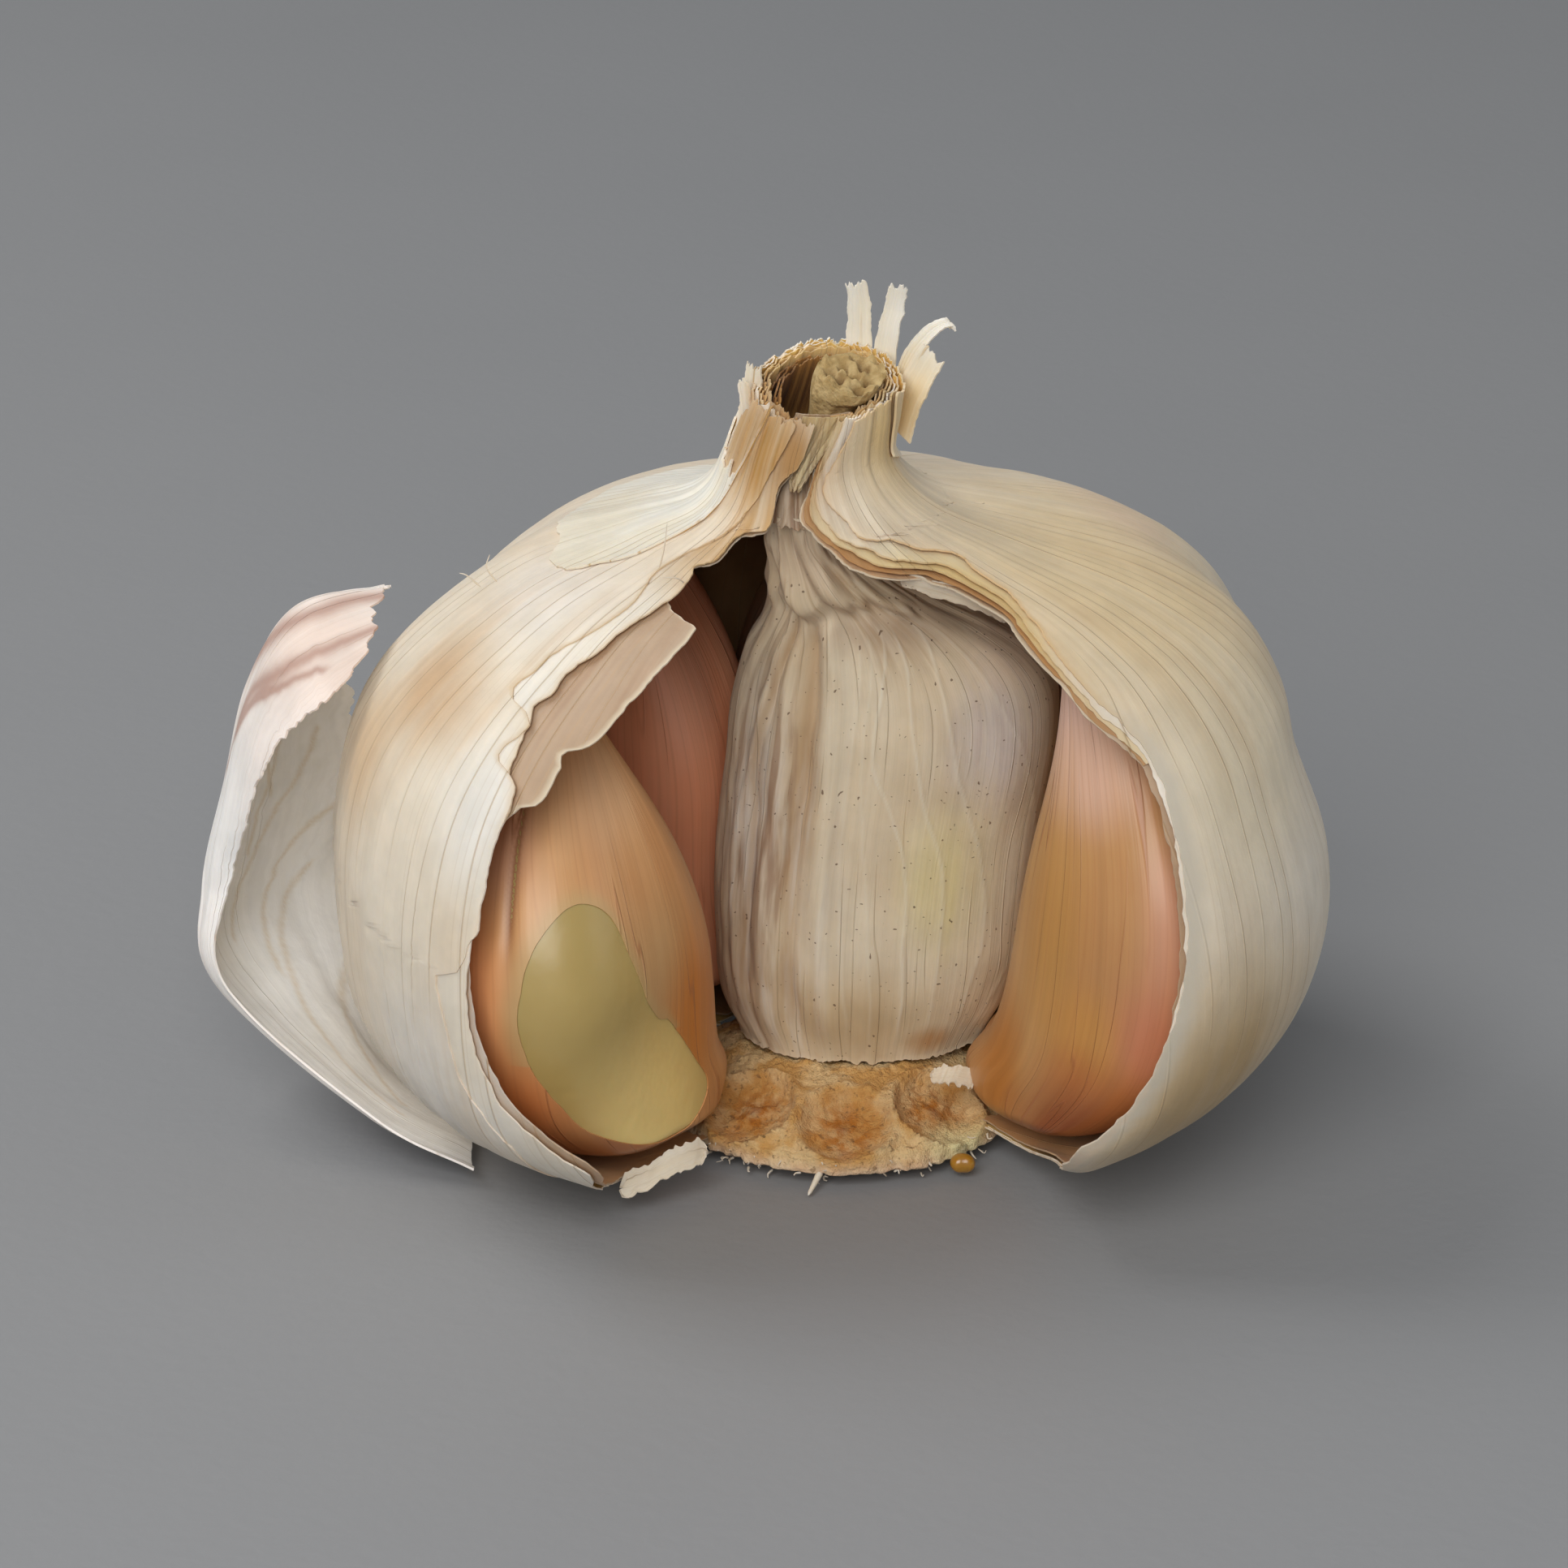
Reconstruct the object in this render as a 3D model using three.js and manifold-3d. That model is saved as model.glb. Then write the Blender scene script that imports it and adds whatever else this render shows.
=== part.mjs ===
// A garlic bulb with three cloves taken out of its front, in millimetres, +Z up, the opening towards -Y.
// Six cloves stand on the corky root plate round a dried flower stalk. Papery leaf skins wrap them,
// gather into a cut neck, and are torn open at the front. One torn skin stands away from the left side.
import * as THREE from 'three';
import { mergeVertices } from 'three/addons/utils/BufferGeometryUtils.js';
import Module from 'manifold-3d';

// Driving dimensions

const SHEET = 0.6; // thickness of every papery skin
const LAYER = 1.1; // from the middle of one wrapper to the middle of the next, over the body
const NECK_LAYER = 1.0; // the same in the neck, where the layers are pressed together
const CLOVE_CLEARANCE = 0.52; // between the inner wrapper and the cloves
const NECK_CUT = 49.2; // height of the neck's cut
const NECK_SLANT = 0.03; // how much lower the cut is at the front, as a share of the profile
const WRAPPER_ROWS = 22; // facets of a wrapper from the root plate to the neck

const PLATE_RADIUS = 10.8;
const PLATE_TOP = 4.7;
const FOOT_RADIUS = 7.4; // the flat foot that the bulb rests on
const SCAR_ANGLES = [-128, -90, -52];
const SCAR_DISTANCE = 8.6;
const SCAR_HEIGHT = 3.2;
const SCAR_TILT = 40;
const SCAR_RADIUS = 2.9;
const SCAR_DEPTH = 0.7;

// The outer wrapper's middle surface, as radius and height from the root plate to the cut neck.
const WRAPPER_PROFILE = [
  [12.4, 2.3], [17.5, 2.5], [23.2, 4.3], [27.8, 8.2], [30.2, 13.7], [30.4, 20.0], [28.5, 26.2],
  [24.5, 31.6], [18.8, 35.8], [12.0, 38.2], [7.2, 39.9], [4.9, 42.6], [4.25, 46.2], [4.25, NECK_CUT],
];
// The neck's axis: how far it stands off the root plate's, in X and in Y, by height.
const NECK_X = [[34, 0], [37, -0.5], [40, -1.6], [43, -2.1], [46, -1.6], [50, -0.7]];
const NECK_Y = [[34, 0], [38, -0.3], [42, -1.0], [46, -1.9], [50, -2.6]];
// How the side at +X differs from a round bulb, as a share of the radius, by height.
const RIGHT_LOBES = [
  [2, -0.04], [8, -0.045], [14, -0.04], [19, -0.05], [25, -0.074], [29, -0.028], [33, 0.014], [37, 0.01],
];
const LEFT_SHOULDER = [[16, 0], [22, 0.01], [28, 0.025], [33, 0.01], [37, 0]];
// Furrows between the cloves, as angles in degrees from +X.
const FURROWS = [160, 109, 60, 11];
const FURROW_DEPTH = 0.06;
const FURROW_WIDTH = 9;

const DEGREE = Math.PI / 180;

// Small functions of shape

const smooth = (from, to, x) => THREE.MathUtils.smoothstep(x, from, to);
const bell = (x, width) => Math.exp(-((x / width) ** 2));
const turned = (angle) => ((((angle + 180) % 360) + 360) % 360) - 180;

// A smooth line through [x, y] points with rising x, read at x.
function lineThrough(points) {
  return (x) => {
    const last = points.length - 1;
    let k = 0;
    while (k < last - 1 && x > points[k + 1][0]) k += 1;
    const nearest = (i) => points[THREE.MathUtils.clamp(i, 0, last)];
    const [before, a, b, after] = [k - 1, k, k + 1, k + 2].map(nearest);
    const t = THREE.MathUtils.clamp((x - a[0]) / (b[0] - a[0]), 0, 1);
    const run = b[0] - a[0];
    const slopeA = ((b[1] - before[1]) / (b[0] - before[0])) * run;
    const slopeB = ((after[1] - a[1]) / (after[0] - a[0])) * run;
    const h = t * t * (3 - 2 * t);
    return a[1] * (1 - h) + b[1] * h + slopeA * t * (1 - t) ** 2 - slopeB * t * t * (1 - t);
  };
}

function smoothCurve(points) {
  const places = points.map((p) => new THREE.Vector3(...p));
  return new THREE.CatmullRomCurve3(places, false, 'catmullrom', 0.5);
}

// A ragged wave for torn edges, between -1 and 1, always the same for the same place and seed.
function ragged(x, seed) {
  const wave = 0.5 * Math.sin(x * 1.7 + seed) + 0.3 * Math.sin(x * 4.3 + seed * 2.1);
  return wave + 0.2 * Math.sin(x * 9.1 + seed * 3.7);
}

// Solids from surfaces

function geometryOf(points, triangles) {
  const geometry = new THREE.BufferGeometry();
  const flat = points.flatMap((p) => [p.x, p.y, p.z]);
  geometry.setAttribute('position', new THREE.Float32BufferAttribute(flat, 3));
  let volume = 0;
  for (const [a, b, c] of triangles) {
    volume += points[a].dot(new THREE.Vector3().crossVectors(points[b], points[c]));
  }
  geometry.setIndex(triangles.flatMap(([a, b, c]) => (volume > 0 ? [a, b, c] : [a, c, b])));
  return geometry;
}

// A sheet of even thickness round the middle surface(u, v), open or closed along u.
function sheetGeometry(surface, columns, rows, { thickness = SHEET, closed = false } = {}) {
  const step = 1e-4;
  const points = [];
  const across = closed ? columns : columns + 1;
  for (let side = -1; side <= 1; side += 2) {
    for (let j = 0; j <= rows; j += 1) {
      for (let i = 0; i < across; i += 1) {
        const [u, v] = [i / columns, j / rows];
        const [u0, u1] = closed ? [u - step, u + step] : [Math.max(0, u - step), Math.min(1, u + step)];
        const [v0, v1] = [Math.max(0, v - step), Math.min(1, v + step)];
        const alongU = surface(u1, v).sub(surface(u0, v));
        const alongV = surface(u, v1).sub(surface(u, v0));
        const normal = alongU.cross(alongV).normalize();
        points.push(surface(u, v).addScaledVector(normal, (side * thickness) / 2));
      }
    }
  }
  const layer = across * (rows + 1);
  const at = (side, i, j) => side * layer + j * across + (i % across);
  const triangles = [];
  const quad = (a, b, c, d) => triangles.push([a, b, c], [a, c, d]);
  for (let j = 0; j < rows; j += 1) {
    for (let i = 0; i < columns; i += 1) {
      quad(at(1, i, j), at(1, i + 1, j), at(1, i + 1, j + 1), at(1, i, j + 1));
      quad(at(0, i, j), at(0, i, j + 1), at(0, i + 1, j + 1), at(0, i + 1, j));
    }
  }
  for (let i = 0; i < columns; i += 1) {
    quad(at(0, i, 0), at(0, i + 1, 0), at(1, i + 1, 0), at(1, i, 0));
    quad(at(1, i, rows), at(1, i + 1, rows), at(0, i + 1, rows), at(0, i, rows));
  }
  if (!closed) {
    for (let j = 0; j < rows; j += 1) {
      quad(at(1, 0, j), at(1, 0, j + 1), at(0, 0, j + 1), at(0, 0, j));
      quad(at(0, columns, j), at(0, columns, j + 1), at(1, columns, j + 1), at(1, columns, j));
    }
  }
  return geometryOf(points, triangles);
}

// A closed body whose surface(t, angle) runs from one end point to the other, with t from 0 to 1.
function bodyGeometry(surface, rings, segments) {
  const points = [surface(0, 0)];
  for (let j = 1; j < rings; j += 1) {
    for (let i = 0; i < segments; i += 1) points.push(surface(j / rings, (i / segments) * 2 * Math.PI));
  }
  points.push(surface(1, 0));
  const end = points.length - 1;
  const at = (i, j) => 1 + (j - 1) * segments + (i % segments);
  const triangles = [];
  for (let i = 0; i < segments; i += 1) {
    triangles.push([0, at(i + 1, 1), at(i, 1)], [end, at(i, rings - 1), at(i + 1, rings - 1)]);
    for (let j = 1; j < rings - 1; j += 1) {
      triangles.push([at(i, j), at(i + 1, j), at(i + 1, j + 1)], [at(i, j), at(i + 1, j + 1), at(i, j + 1)]);
    }
  }
  return geometryOf(points, triangles);
}

// Booleans, for the root plate

const wasm = await Module();
wasm.setup();

function solidOf(geometry) {
  const bare = geometry.clone();
  bare.deleteAttribute('normal');
  bare.deleteAttribute('uv');
  const merged = mergeVertices(bare, 1e-4);
  const mesh = new wasm.Mesh({
    numProp: 3,
    vertProperties: merged.attributes.position.array,
    triVerts: new Uint32Array(merged.index.array),
  });
  return new wasm.Manifold(mesh);
}

function geometryFrom(solid) {
  const mesh = solid.getMesh();
  const geometry = new THREE.BufferGeometry();
  geometry.setAttribute('position', new THREE.BufferAttribute(mesh.vertProperties, 3));
  geometry.setIndex(new THREE.BufferAttribute(mesh.triVerts, 1));
  return geometry;
}

// The bulb's own surface: every wrapper is this, moved in or out along its normal

const profileCurve = new THREE.CatmullRomCurve3(
  WRAPPER_PROFILE.map(([radius, height]) => new THREE.Vector3(radius, height, 0)), false, 'catmullrom', 0.5,
);
const [neckX, neckY] = [lineThrough(NECK_X), lineThrough(NECK_Y)];
const [rightLobes, leftShoulder] = [lineThrough(RIGHT_LOBES), lineThrough(LEFT_SHOULDER)];

function bodyShape(angle, height) {
  const body = smooth(2, 12, height) * (1 - smooth(33, 40, height));
  let shape = 1 + rightLobes(height) * bell(turned(angle - 4), 42) * (1 - smooth(35, 40, height));
  for (const furrow of FURROWS) shape -= FURROW_DEPTH * body * bell(turned(angle - furrow), FURROW_WIDTH);
  shape += leftShoulder(height) * bell(turned(angle - 190), 40);
  return shape + 0.05 * bell(turned(angle - 205), 40) * bell(height - 6, 6);
}

// The bulb's underside sinks lower on the left, beside the root plate.
const sag = (angle, height) => 1.0 * bell(turned(angle + 140), 50) * (1 - smooth(4, 14, height));

function wrapperPoint(angle, v, offset) {
  const middle = profileCurve.getPoint(v);
  const along = profileCurve.getTangent(v);
  const radius = middle.x * bodyShape(angle, middle.y) + along.y * offset;
  const height = middle.y - along.x * offset;
  return new THREE.Vector3(
    radius * Math.cos(angle * DEGREE) + neckX(height),
    radius * Math.sin(angle * DEGREE) + neckY(height),
    height - sag(angle, middle.y),
  );
}

// Distance between wrappers at v: pressed together in the neck.
const layerAt = (v) => THREE.MathUtils.lerp(LAYER, NECK_LAYER, smooth(0.82, 0.92, v));

// Wrappers. Each torn edge is a line of [v, angle] points.

const OUTER_RIGHT_EDGE = lineThrough([
  [0, -47], [0.15, -50], [0.27, -52], [0.35, -49.3], [0.42, -47.8], [0.505, -49], [0.565, -52.6],
  [0.62, -55.4], [0.665, -59.5], [0.717, -74], [0.765, -88], [0.8, -86], [0.85, -72], [0.9, -63], [1, -58],
]);
const OUTER_LEFT_EDGE = lineThrough([
  [0, -137], [0.2, -136.5], [0.315, -137], [0.36, -137], [0.41, -136], [0.484, -136.6], [0.507, -142],
  [0.532, -141.5], [0.548, -146.6], [0.581, -144.6], [0.605, -140.4], [0.645, -136.6], [0.67, -134],
  [0.71, -133.2], [0.782, -131], [0.856, -114], [0.92, -103], [1, -99],
]);
const UNDER_RIGHT_EDGE = lineThrough([
  [0, -47], [0.2, -50], [0.3, -51], [0.4, -47.6], [0.46, -47.6], [0.508, -48.4], [0.581, -52],
  [0.618, -55.4], [0.659, -59.6], [0.705, -74], [0.74, -90], [0.776, -100], [0.81, -98], [0.87, -84], [1, -76],
]);
const UNDER_LEFT_EDGE = lineThrough([
  [0, -137], [0.25, -138.6], [0.36, -140], [0.444, -139.6], [0.468, -139.4], [0.486, -136.5], [0.515, -135.3],
  [0.56, -129.7], [0.6, -126.9], [0.64, -126.4], [0.655, -129], [0.69, -131], [0.782, -127.5], [0.856, -112],
  [1, -97],
]);

// A wrapper reaches clockwise from its left torn edge, round the back, to its right one.
function wrapperSurface(leftEdge, rightEdge, layer, bottom, top) {
  return (u, v) => {
    const s = THREE.MathUtils.lerp(bottom, top(u), v);
    const angle = THREE.MathUtils.lerp(rightEdge(s), leftEdge(s) + 360, u);
    return wrapperPoint(angle, s, layer * layerAt(s));
  };
}

// The cut runs lower at the front, so that its face looks up and forwards.
const slantedTop = (u) => 1 - NECK_SLANT * (1 + Math.cos(2 * Math.PI * u)) / 2;

function outerSkin() {
  const top = (u) => slantedTop(u) - 0.005 * (1 + ragged(u * 40, 2));
  return sheetGeometry(wrapperSurface(OUTER_LEFT_EDGE, OUTER_RIGHT_EDGE, 0, 0, top), 42, WRAPPER_ROWS);
}

function underSkin() {
  const top = (u) => slantedTop(u) - 0.005 * (1 + ragged(u * 40, 5));
  return sheetGeometry(wrapperSurface(UNDER_LEFT_EDGE, UNDER_RIGHT_EDGE, -1, 0, top), 28, WRAPPER_ROWS);
}

// What is left of the outermost leaf: a collar round the neck, long on the left shoulder, with frayed strips.
const COLLAR_EDGE = lineThrough([
  [0, 0.86], [0.14, 0.83], [0.4, 0.8], [0.6, 0.76], [0.69, 0.7], [0.76, 0.635], [0.86, 0.63], [0.93, 0.662],
  [1, 0.735],
]);
const COLLAR_ANGLES = [-18, 228];
const STRIPS = [
  { at: 0.345, half: 0.034, rise: 2.6 },
  { at: 0.25, half: 0.036, rise: 3.1 },
  { at: 0.12, half: 0.055, rise: 2.4 },
];

function collar() {
  const surface = (u, v) => {
    const s = THREE.MathUtils.lerp(COLLAR_EDGE(u), 1, v);
    const angle = THREE.MathUtils.lerp(COLLAR_ANGLES[0], COLLAR_ANGLES[1], u);
    const point = wrapperPoint(angle, s, layerAt(s));
    let rise = 0.4 * ragged(u * 30, 1);
    for (const strip of STRIPS) {
      const away = Math.abs(u - strip.at);
      rise += strip.rise * (1 - smooth(strip.half * 0.7, strip.half * 1.3, away));
    }
    const upper = smooth(0.86, 1, v);
    point.z += rise * upper;
    point.x += 0.3 * rise * upper * Math.cos(angle * DEGREE);
    point.y += 0.3 * rise * upper * Math.sin(angle * DEGREE);
    return point;
  };
  return sheetGeometry(surface, 32, 9);
}

// Dried inner leaves rolled into a tube inside the neck.
const ROLL_RADIUS = 2.3;
const ROLL_FOOT = 41.9;

function neckRoll() {
  const surface = (u, v) => {
    const angle = -2 * Math.PI * u;
    const cut = NECK_CUT - 0.9 + 0.3 * Math.sin(angle) + 0.2 * ragged(u * 26, 4);
    const height = THREE.MathUtils.lerp(ROLL_FOOT, cut, v);
    return new THREE.Vector3(
      neckX(height) + ROLL_RADIUS * Math.cos(angle), neckY(height) + ROLL_RADIUS * Math.sin(angle), height,
    );
  };
  return sheetGeometry(surface, 22, 4, { closed: true });
}

// Flower stalk, from the root plate up behind the middle clove into the neck.
const STALK_RADIUS = 1.4;
const STALK_PATH = [
  [0.3, 8.2, 4.9], [0.3, 9.9, 12], [0.3, 9.9, 22], [0.1, 8.6, 30], [-0.9, 4.6, 35.4], [-1.7, 0.2, 40.0],
  [-1.8, -1.2, 43.4], [-1.5, -1.75, 46], [-0.85, -2.3, 48.8],
];

function flowerStalk() {
  const path = smoothCurve(STALK_PATH);
  const section = new THREE.Shape();
  section.absarc(0, 0, STALK_RADIUS, 0, 2 * Math.PI);
  return new THREE.ExtrudeGeometry(section, { extrudePath: path, steps: 22, curveSegments: 5 });
}

// Cloves. The room inside the wrappers, as a radius for each height.

const CAVITY_OFFSET = -(LAYER + CLOVE_CLEARANCE + SHEET / 2);
const cavitySamples = Array.from({ length: 240 }, (_, i) => {
  const v = (i / 239) * 0.8;
  const middle = profileCurve.getPoint(v);
  const along = profileCurve.getTangent(v);
  return [middle.y - along.x * CAVITY_OFFSET, middle.x + along.y * CAVITY_OFFSET];
});

function cavityRadius(angle, atHeight) {
  const height = atHeight + sag(angle, atHeight);
  let radius = 0;
  for (let i = 1; i < cavitySamples.length; i += 1) {
    const [a, b] = [cavitySamples[i - 1], cavitySamples[i]];
    if ((a[0] - height) * (b[0] - height) <= 0 && a[0] !== b[0]) {
      const share = (height - a[0]) / (b[0] - a[0]);
      radius = Math.max(radius, THREE.MathUtils.lerp(a[1], b[1], share));
    }
  }
  return radius * bodyShape(angle, height);
}

const rounded = (value, power) => Math.sign(value) * Math.abs(value) ** power;

// A clove in the ring: a rounded wedge whose back follows the wrappers and whose edge points at the stalk.
function ringCloveSurface(clove, inset = 0) {
  const inner = lineThrough(clove.inner);
  const core = lineThrough(clove.core);
  const [foot, tip] = [clove.foot + inset * 1.4, clove.tip - inset * 1.6];
  return (t, around) => {
    const rise = (1 - Math.cos(Math.PI * t)) / 2;
    const height = THREE.MathUtils.lerp(foot, tip, rise);
    const footClose = Math.sqrt(Math.max(0, 1 - (1 - Math.min(1, rise / 0.08)) ** 2));
    const tipClose = (1 - Math.max(0, (rise - 0.4) / 0.6) ** 2.2) ** clove.point;
    const close = footClose * tipClose;
    const even = around - 0.18 * Math.sin(4 * around); // spreads the points evenly round the wedge
    const [w, q] = [rounded(Math.cos(even), 0.58), rounded(Math.sin(even), 0.58)];
    const angle = clove.angle + (clove.lean ?? 0) * rise * rise + clove.half * close * q;
    const outer = cavityRadius(angle, height) - inset;
    const heart = core(height);
    const radius = heart + (w > 0 ? (outer - heart) * w : (heart - inner(height) - inset) * w) * close;
    const narrow = (inset / Math.max(radius, 6)) / DEGREE;
    const turn = (angle - narrow * close * q) * DEGREE;
    return new THREE.Vector3(radius * Math.cos(turn), radius * Math.sin(turn), height);
  };
}

const PLATE_SIDE = [[2, 11.6], [4.2, 9.6], [6, 8.8]]; // where a clove's inner edge passes the root plate
const FOOT = 4.15;
const CLOVES = {
  left: {
    angle: -162, half: 38.5, foot: 3.15, tip: 30.6, point: 0.62,
    inner: [...PLATE_SIDE, [8, 9.6], [12, 10.2], [18, 11.4], [24, 13], [30.6, 16]],
    core: [[FOOT, 16], [10, 18.5], [20, 19], [30.6, 17.4]],
  },
  left_back: {
    angle: 134.5, half: 23.4, lean: 10, foot: FOOT, tip: 35, point: 0.6,
    inner: [...PLATE_SIDE, [12, 9.4], [20, 9.2], [26, 9.8], [30, 11.6], [35, 14.2]],
    core: [[FOOT, 16], [12, 19], [22, 19], [30, 16.5], [35, 15.2]],
  },
  back: {
    angle: 84.5, half: 22.8, foot: FOOT, tip: 35.9, point: 0.6,
    inner: [[2, 12.6], [4.2, 12.4], [12, 13.4], [22, 13.4], [30, 11.5], [35.9, 9]],
    core: [[FOOT, 16.5], [12, 20], [22, 19.5], [32, 13.5], [35.9, 10.5]],
  },
  right_back: {
    angle: 35.5, half: 22.8, foot: FOOT, tip: 36.2, point: 0.6,
    inner: [[2, 11.6], [4.2, 10.4], [12, 13.2], [22, 13.9], [28, 13.9], [32, 12.6], [36.2, 9.5]],
    core: [[FOOT, 16], [12, 20], [22, 20], [32, 14.5], [36.2, 11]],
  },
  right: {
    angle: -18.5, half: 30.3, foot: FOOT, tip: 35, point: 0.6,
    inner: [...PLATE_SIDE, [8, 10.4], [12, 11.8], [22, 13.4], [28, 14], [35, 13]],
    core: [[FOOT, 16], [10, 19.5], [20, 20.5], [28, 18], [35, 14]],
  },
};

function ringClove(name) {
  return bodyGeometry(ringCloveSurface(CLOVES[name]), 17, 20);
}

// The left clove's own brown skin has split at the front, and its flesh is bare there.
const SKIN_INSET = 1.3;
const SLIT_AT = 0.196; // where round the clove the split starts, as a share of a turn
const SPLIT_EDGES = {
  outer: lineThrough([
    [0, 0.14], [0.2, 0.13], [0.32, 0.125], [0.42, 0.135], [0.5, 0.16], [0.58, 0.191], [1, 0.191],
  ]),
  inner: lineThrough([
    [0, 0.4], [0.2, 0.38], [0.32, 0.34], [0.42, 0.285], [0.5, 0.24], [0.58, 0.203], [1, 0.203],
  ]),
};

function leftCloveSkin() {
  const surface = ringCloveSurface(CLOVES.left, SHEET / 2);
  const sheet = (u, v) => {
    const t = THREE.MathUtils.lerp(0.06, 0.93, v);
    const fromInner = (SPLIT_EDGES.inner(t) - SLIT_AT) * (1 - u) ** 5;
    const fromOuter = (SPLIT_EDGES.outer(t) - SLIT_AT) * u ** 5;
    return surface(t, (SLIT_AT + u + fromInner + fromOuter) * 2 * Math.PI);
  };
  return sheetGeometry(sheet, 22, 16);
}

function leftCloveFlesh() {
  return bodyGeometry(ringCloveSurface(CLOVES.left, SKIN_INSET), 16, 20);
}

// The middle clove and the thin leaf round it, as centre X, centre Y, half width and half depth by height.
const MIDDLE = {
  x: lineThrough([
    [5.2, 1.2], [13, 1.4], [19, 1.9], [25, 2.6], [29, 2.6], [32.4, 2.1], [35.6, 0], [38.2, -2.1], [39.9, -2.6],
  ]),
  y: lineThrough([[5.2, 0.6], [13, 0.9], [28, 0.8], [32, 0.1], [36, -2.2], [39.9, -3.9]]),
  width: lineThrough([
    [5.2, 6.8], [8, 8.7], [13.4, 9.35], [19, 9.5], [25, 9.6], [29, 9.4], [32.4, 7.8], [34.6, 5.2], [36.4, 3.6],
    [38.4, 2.5], [39.9, 2.0],
  ]),
  depth: lineThrough([
    [5.2, 4.8], [9, 6.1], [15, 6.5], [25, 6.3], [29, 5.9], [32.4, 4.8], [35, 3.4], [38.4, 2.0], [39.9, 1.6],
  ]),
};
const MIDDLE_CLOVE = { foot: 5.5, tip: 33.2, inset: 1.05 };

function middleClove() {
  const surface = (t, around) => {
    const rise = (1 - Math.cos(Math.PI * t)) / 2;
    const height = THREE.MathUtils.lerp(MIDDLE_CLOVE.foot, MIDDLE_CLOVE.tip, rise);
    const footClose = Math.sqrt(Math.max(0, 1 - (1 - Math.min(1, rise / 0.12)) ** 2));
    const tipClose = (1 - Math.max(0, (rise - 0.6) / 0.4) ** 2) ** 0.7;
    const close = footClose * tipClose;
    return new THREE.Vector3(
      MIDDLE.x(height) + (MIDDLE.width(height) - MIDDLE_CLOVE.inset) * close * Math.cos(around),
      MIDDLE.y(height) + (MIDDLE.depth(height) - MIDDLE_CLOVE.inset) * close * Math.sin(around),
      height,
    );
  };
  return bodyGeometry(surface, 16, 20);
}

function middleLeaf() {
  const surface = (u, v) => {
    const height = THREE.MathUtils.lerp(5.25, 39.9, v);
    const around = -2 * Math.PI * u;
    const pleat = 1 + 0.05 * Math.sin(7 * around + 1) * smooth(31, 36, height);
    return new THREE.Vector3(
      MIDDLE.x(height) + (MIDDLE.width(height) - SHEET / 2) * pleat * Math.cos(around),
      MIDDLE.y(height) + (MIDDLE.depth(height) - SHEET / 2) * pleat * Math.sin(around),
      height,
    );
  };
  return sheetGeometry(surface, 20, 16, { closed: true });
}

// The torn outer skin that stands away on the left, between its back margin, its leftmost fold and its front
// margin, which curls over towards the front in the upper half.
const PEEL_BACK = [
  [-22.9, -1, 0.75], [-27.8, 4, 2.7], [-29.8, 14, 9.2], [-29.2, 15, 14.5], [-29.9, 12.5, 20.5], [-31, 10.5, 25.5],
  [-30, 8.5, 30.0], [-26.9, 6.0, 32.0],
];
const PEEL_FOLD = [
  [-22.4, -10.2, 0.75], [-28.9, -8, 3.1], [-38.3, -1, 8.6], [-39.0, 2, 13.5], [-37.6, 4, 19.5], [-35.8, 5, 25.8],
  [-32.7, 5, 30.8], [-26.9, 4.6, 32.4],
];
const PEEL_FRONT = [
  [-22.2, -11.6, 1.1], [-28.5, -9.4, 3.6], [-37.6, -2.8, 9.4], [-36.9, -0.6, 15.3], [-35.5, -2.5, 20.8],
  [-33.7, -3.5, 24.9], [-31.4, -4, 27.5], [-29.1, -2.5, 29.4],
];
const PEEL_FOLD_AT = 0.64; // where the fold lies between the back margin (0) and the front one (1)

function peeledSkin() {
  const [back, fold, front] = [PEEL_BACK, PEEL_FOLD, PEEL_FRONT].map(smoothCurve);
  const surface = (u, v) => {
    const middle = fold.getPoint(v);
    const [margin, share] = u < PEEL_FOLD_AT
      ? [back.getPoint(v), 1 - u / PEEL_FOLD_AT]
      : [front.getPoint(v), (u - PEEL_FOLD_AT) / (1 - PEEL_FOLD_AT)];
    const bend = middle.clone().lerp(margin, 0.45);
    bend.x = middle.x;
    return new THREE.QuadraticBezierCurve3(middle, bend, margin).getPoint(share);
  };
  return sheetGeometry(surface, 12, 16);
}

// Bits of leaf base still on the root plate: a torn tongue at its left rim, and a small scale on its right shoulder.
const PLATE_BITS = [
  { half: [3.0, 1.3, 0.5], tilt: -12, turn: -128, at: [-7.2, -9.3, 1.9] },
  { half: [1.3, 0.9, 0.4], tilt: 30, turn: -45, at: [6.5, -4.5, 3.75] },
];

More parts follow.
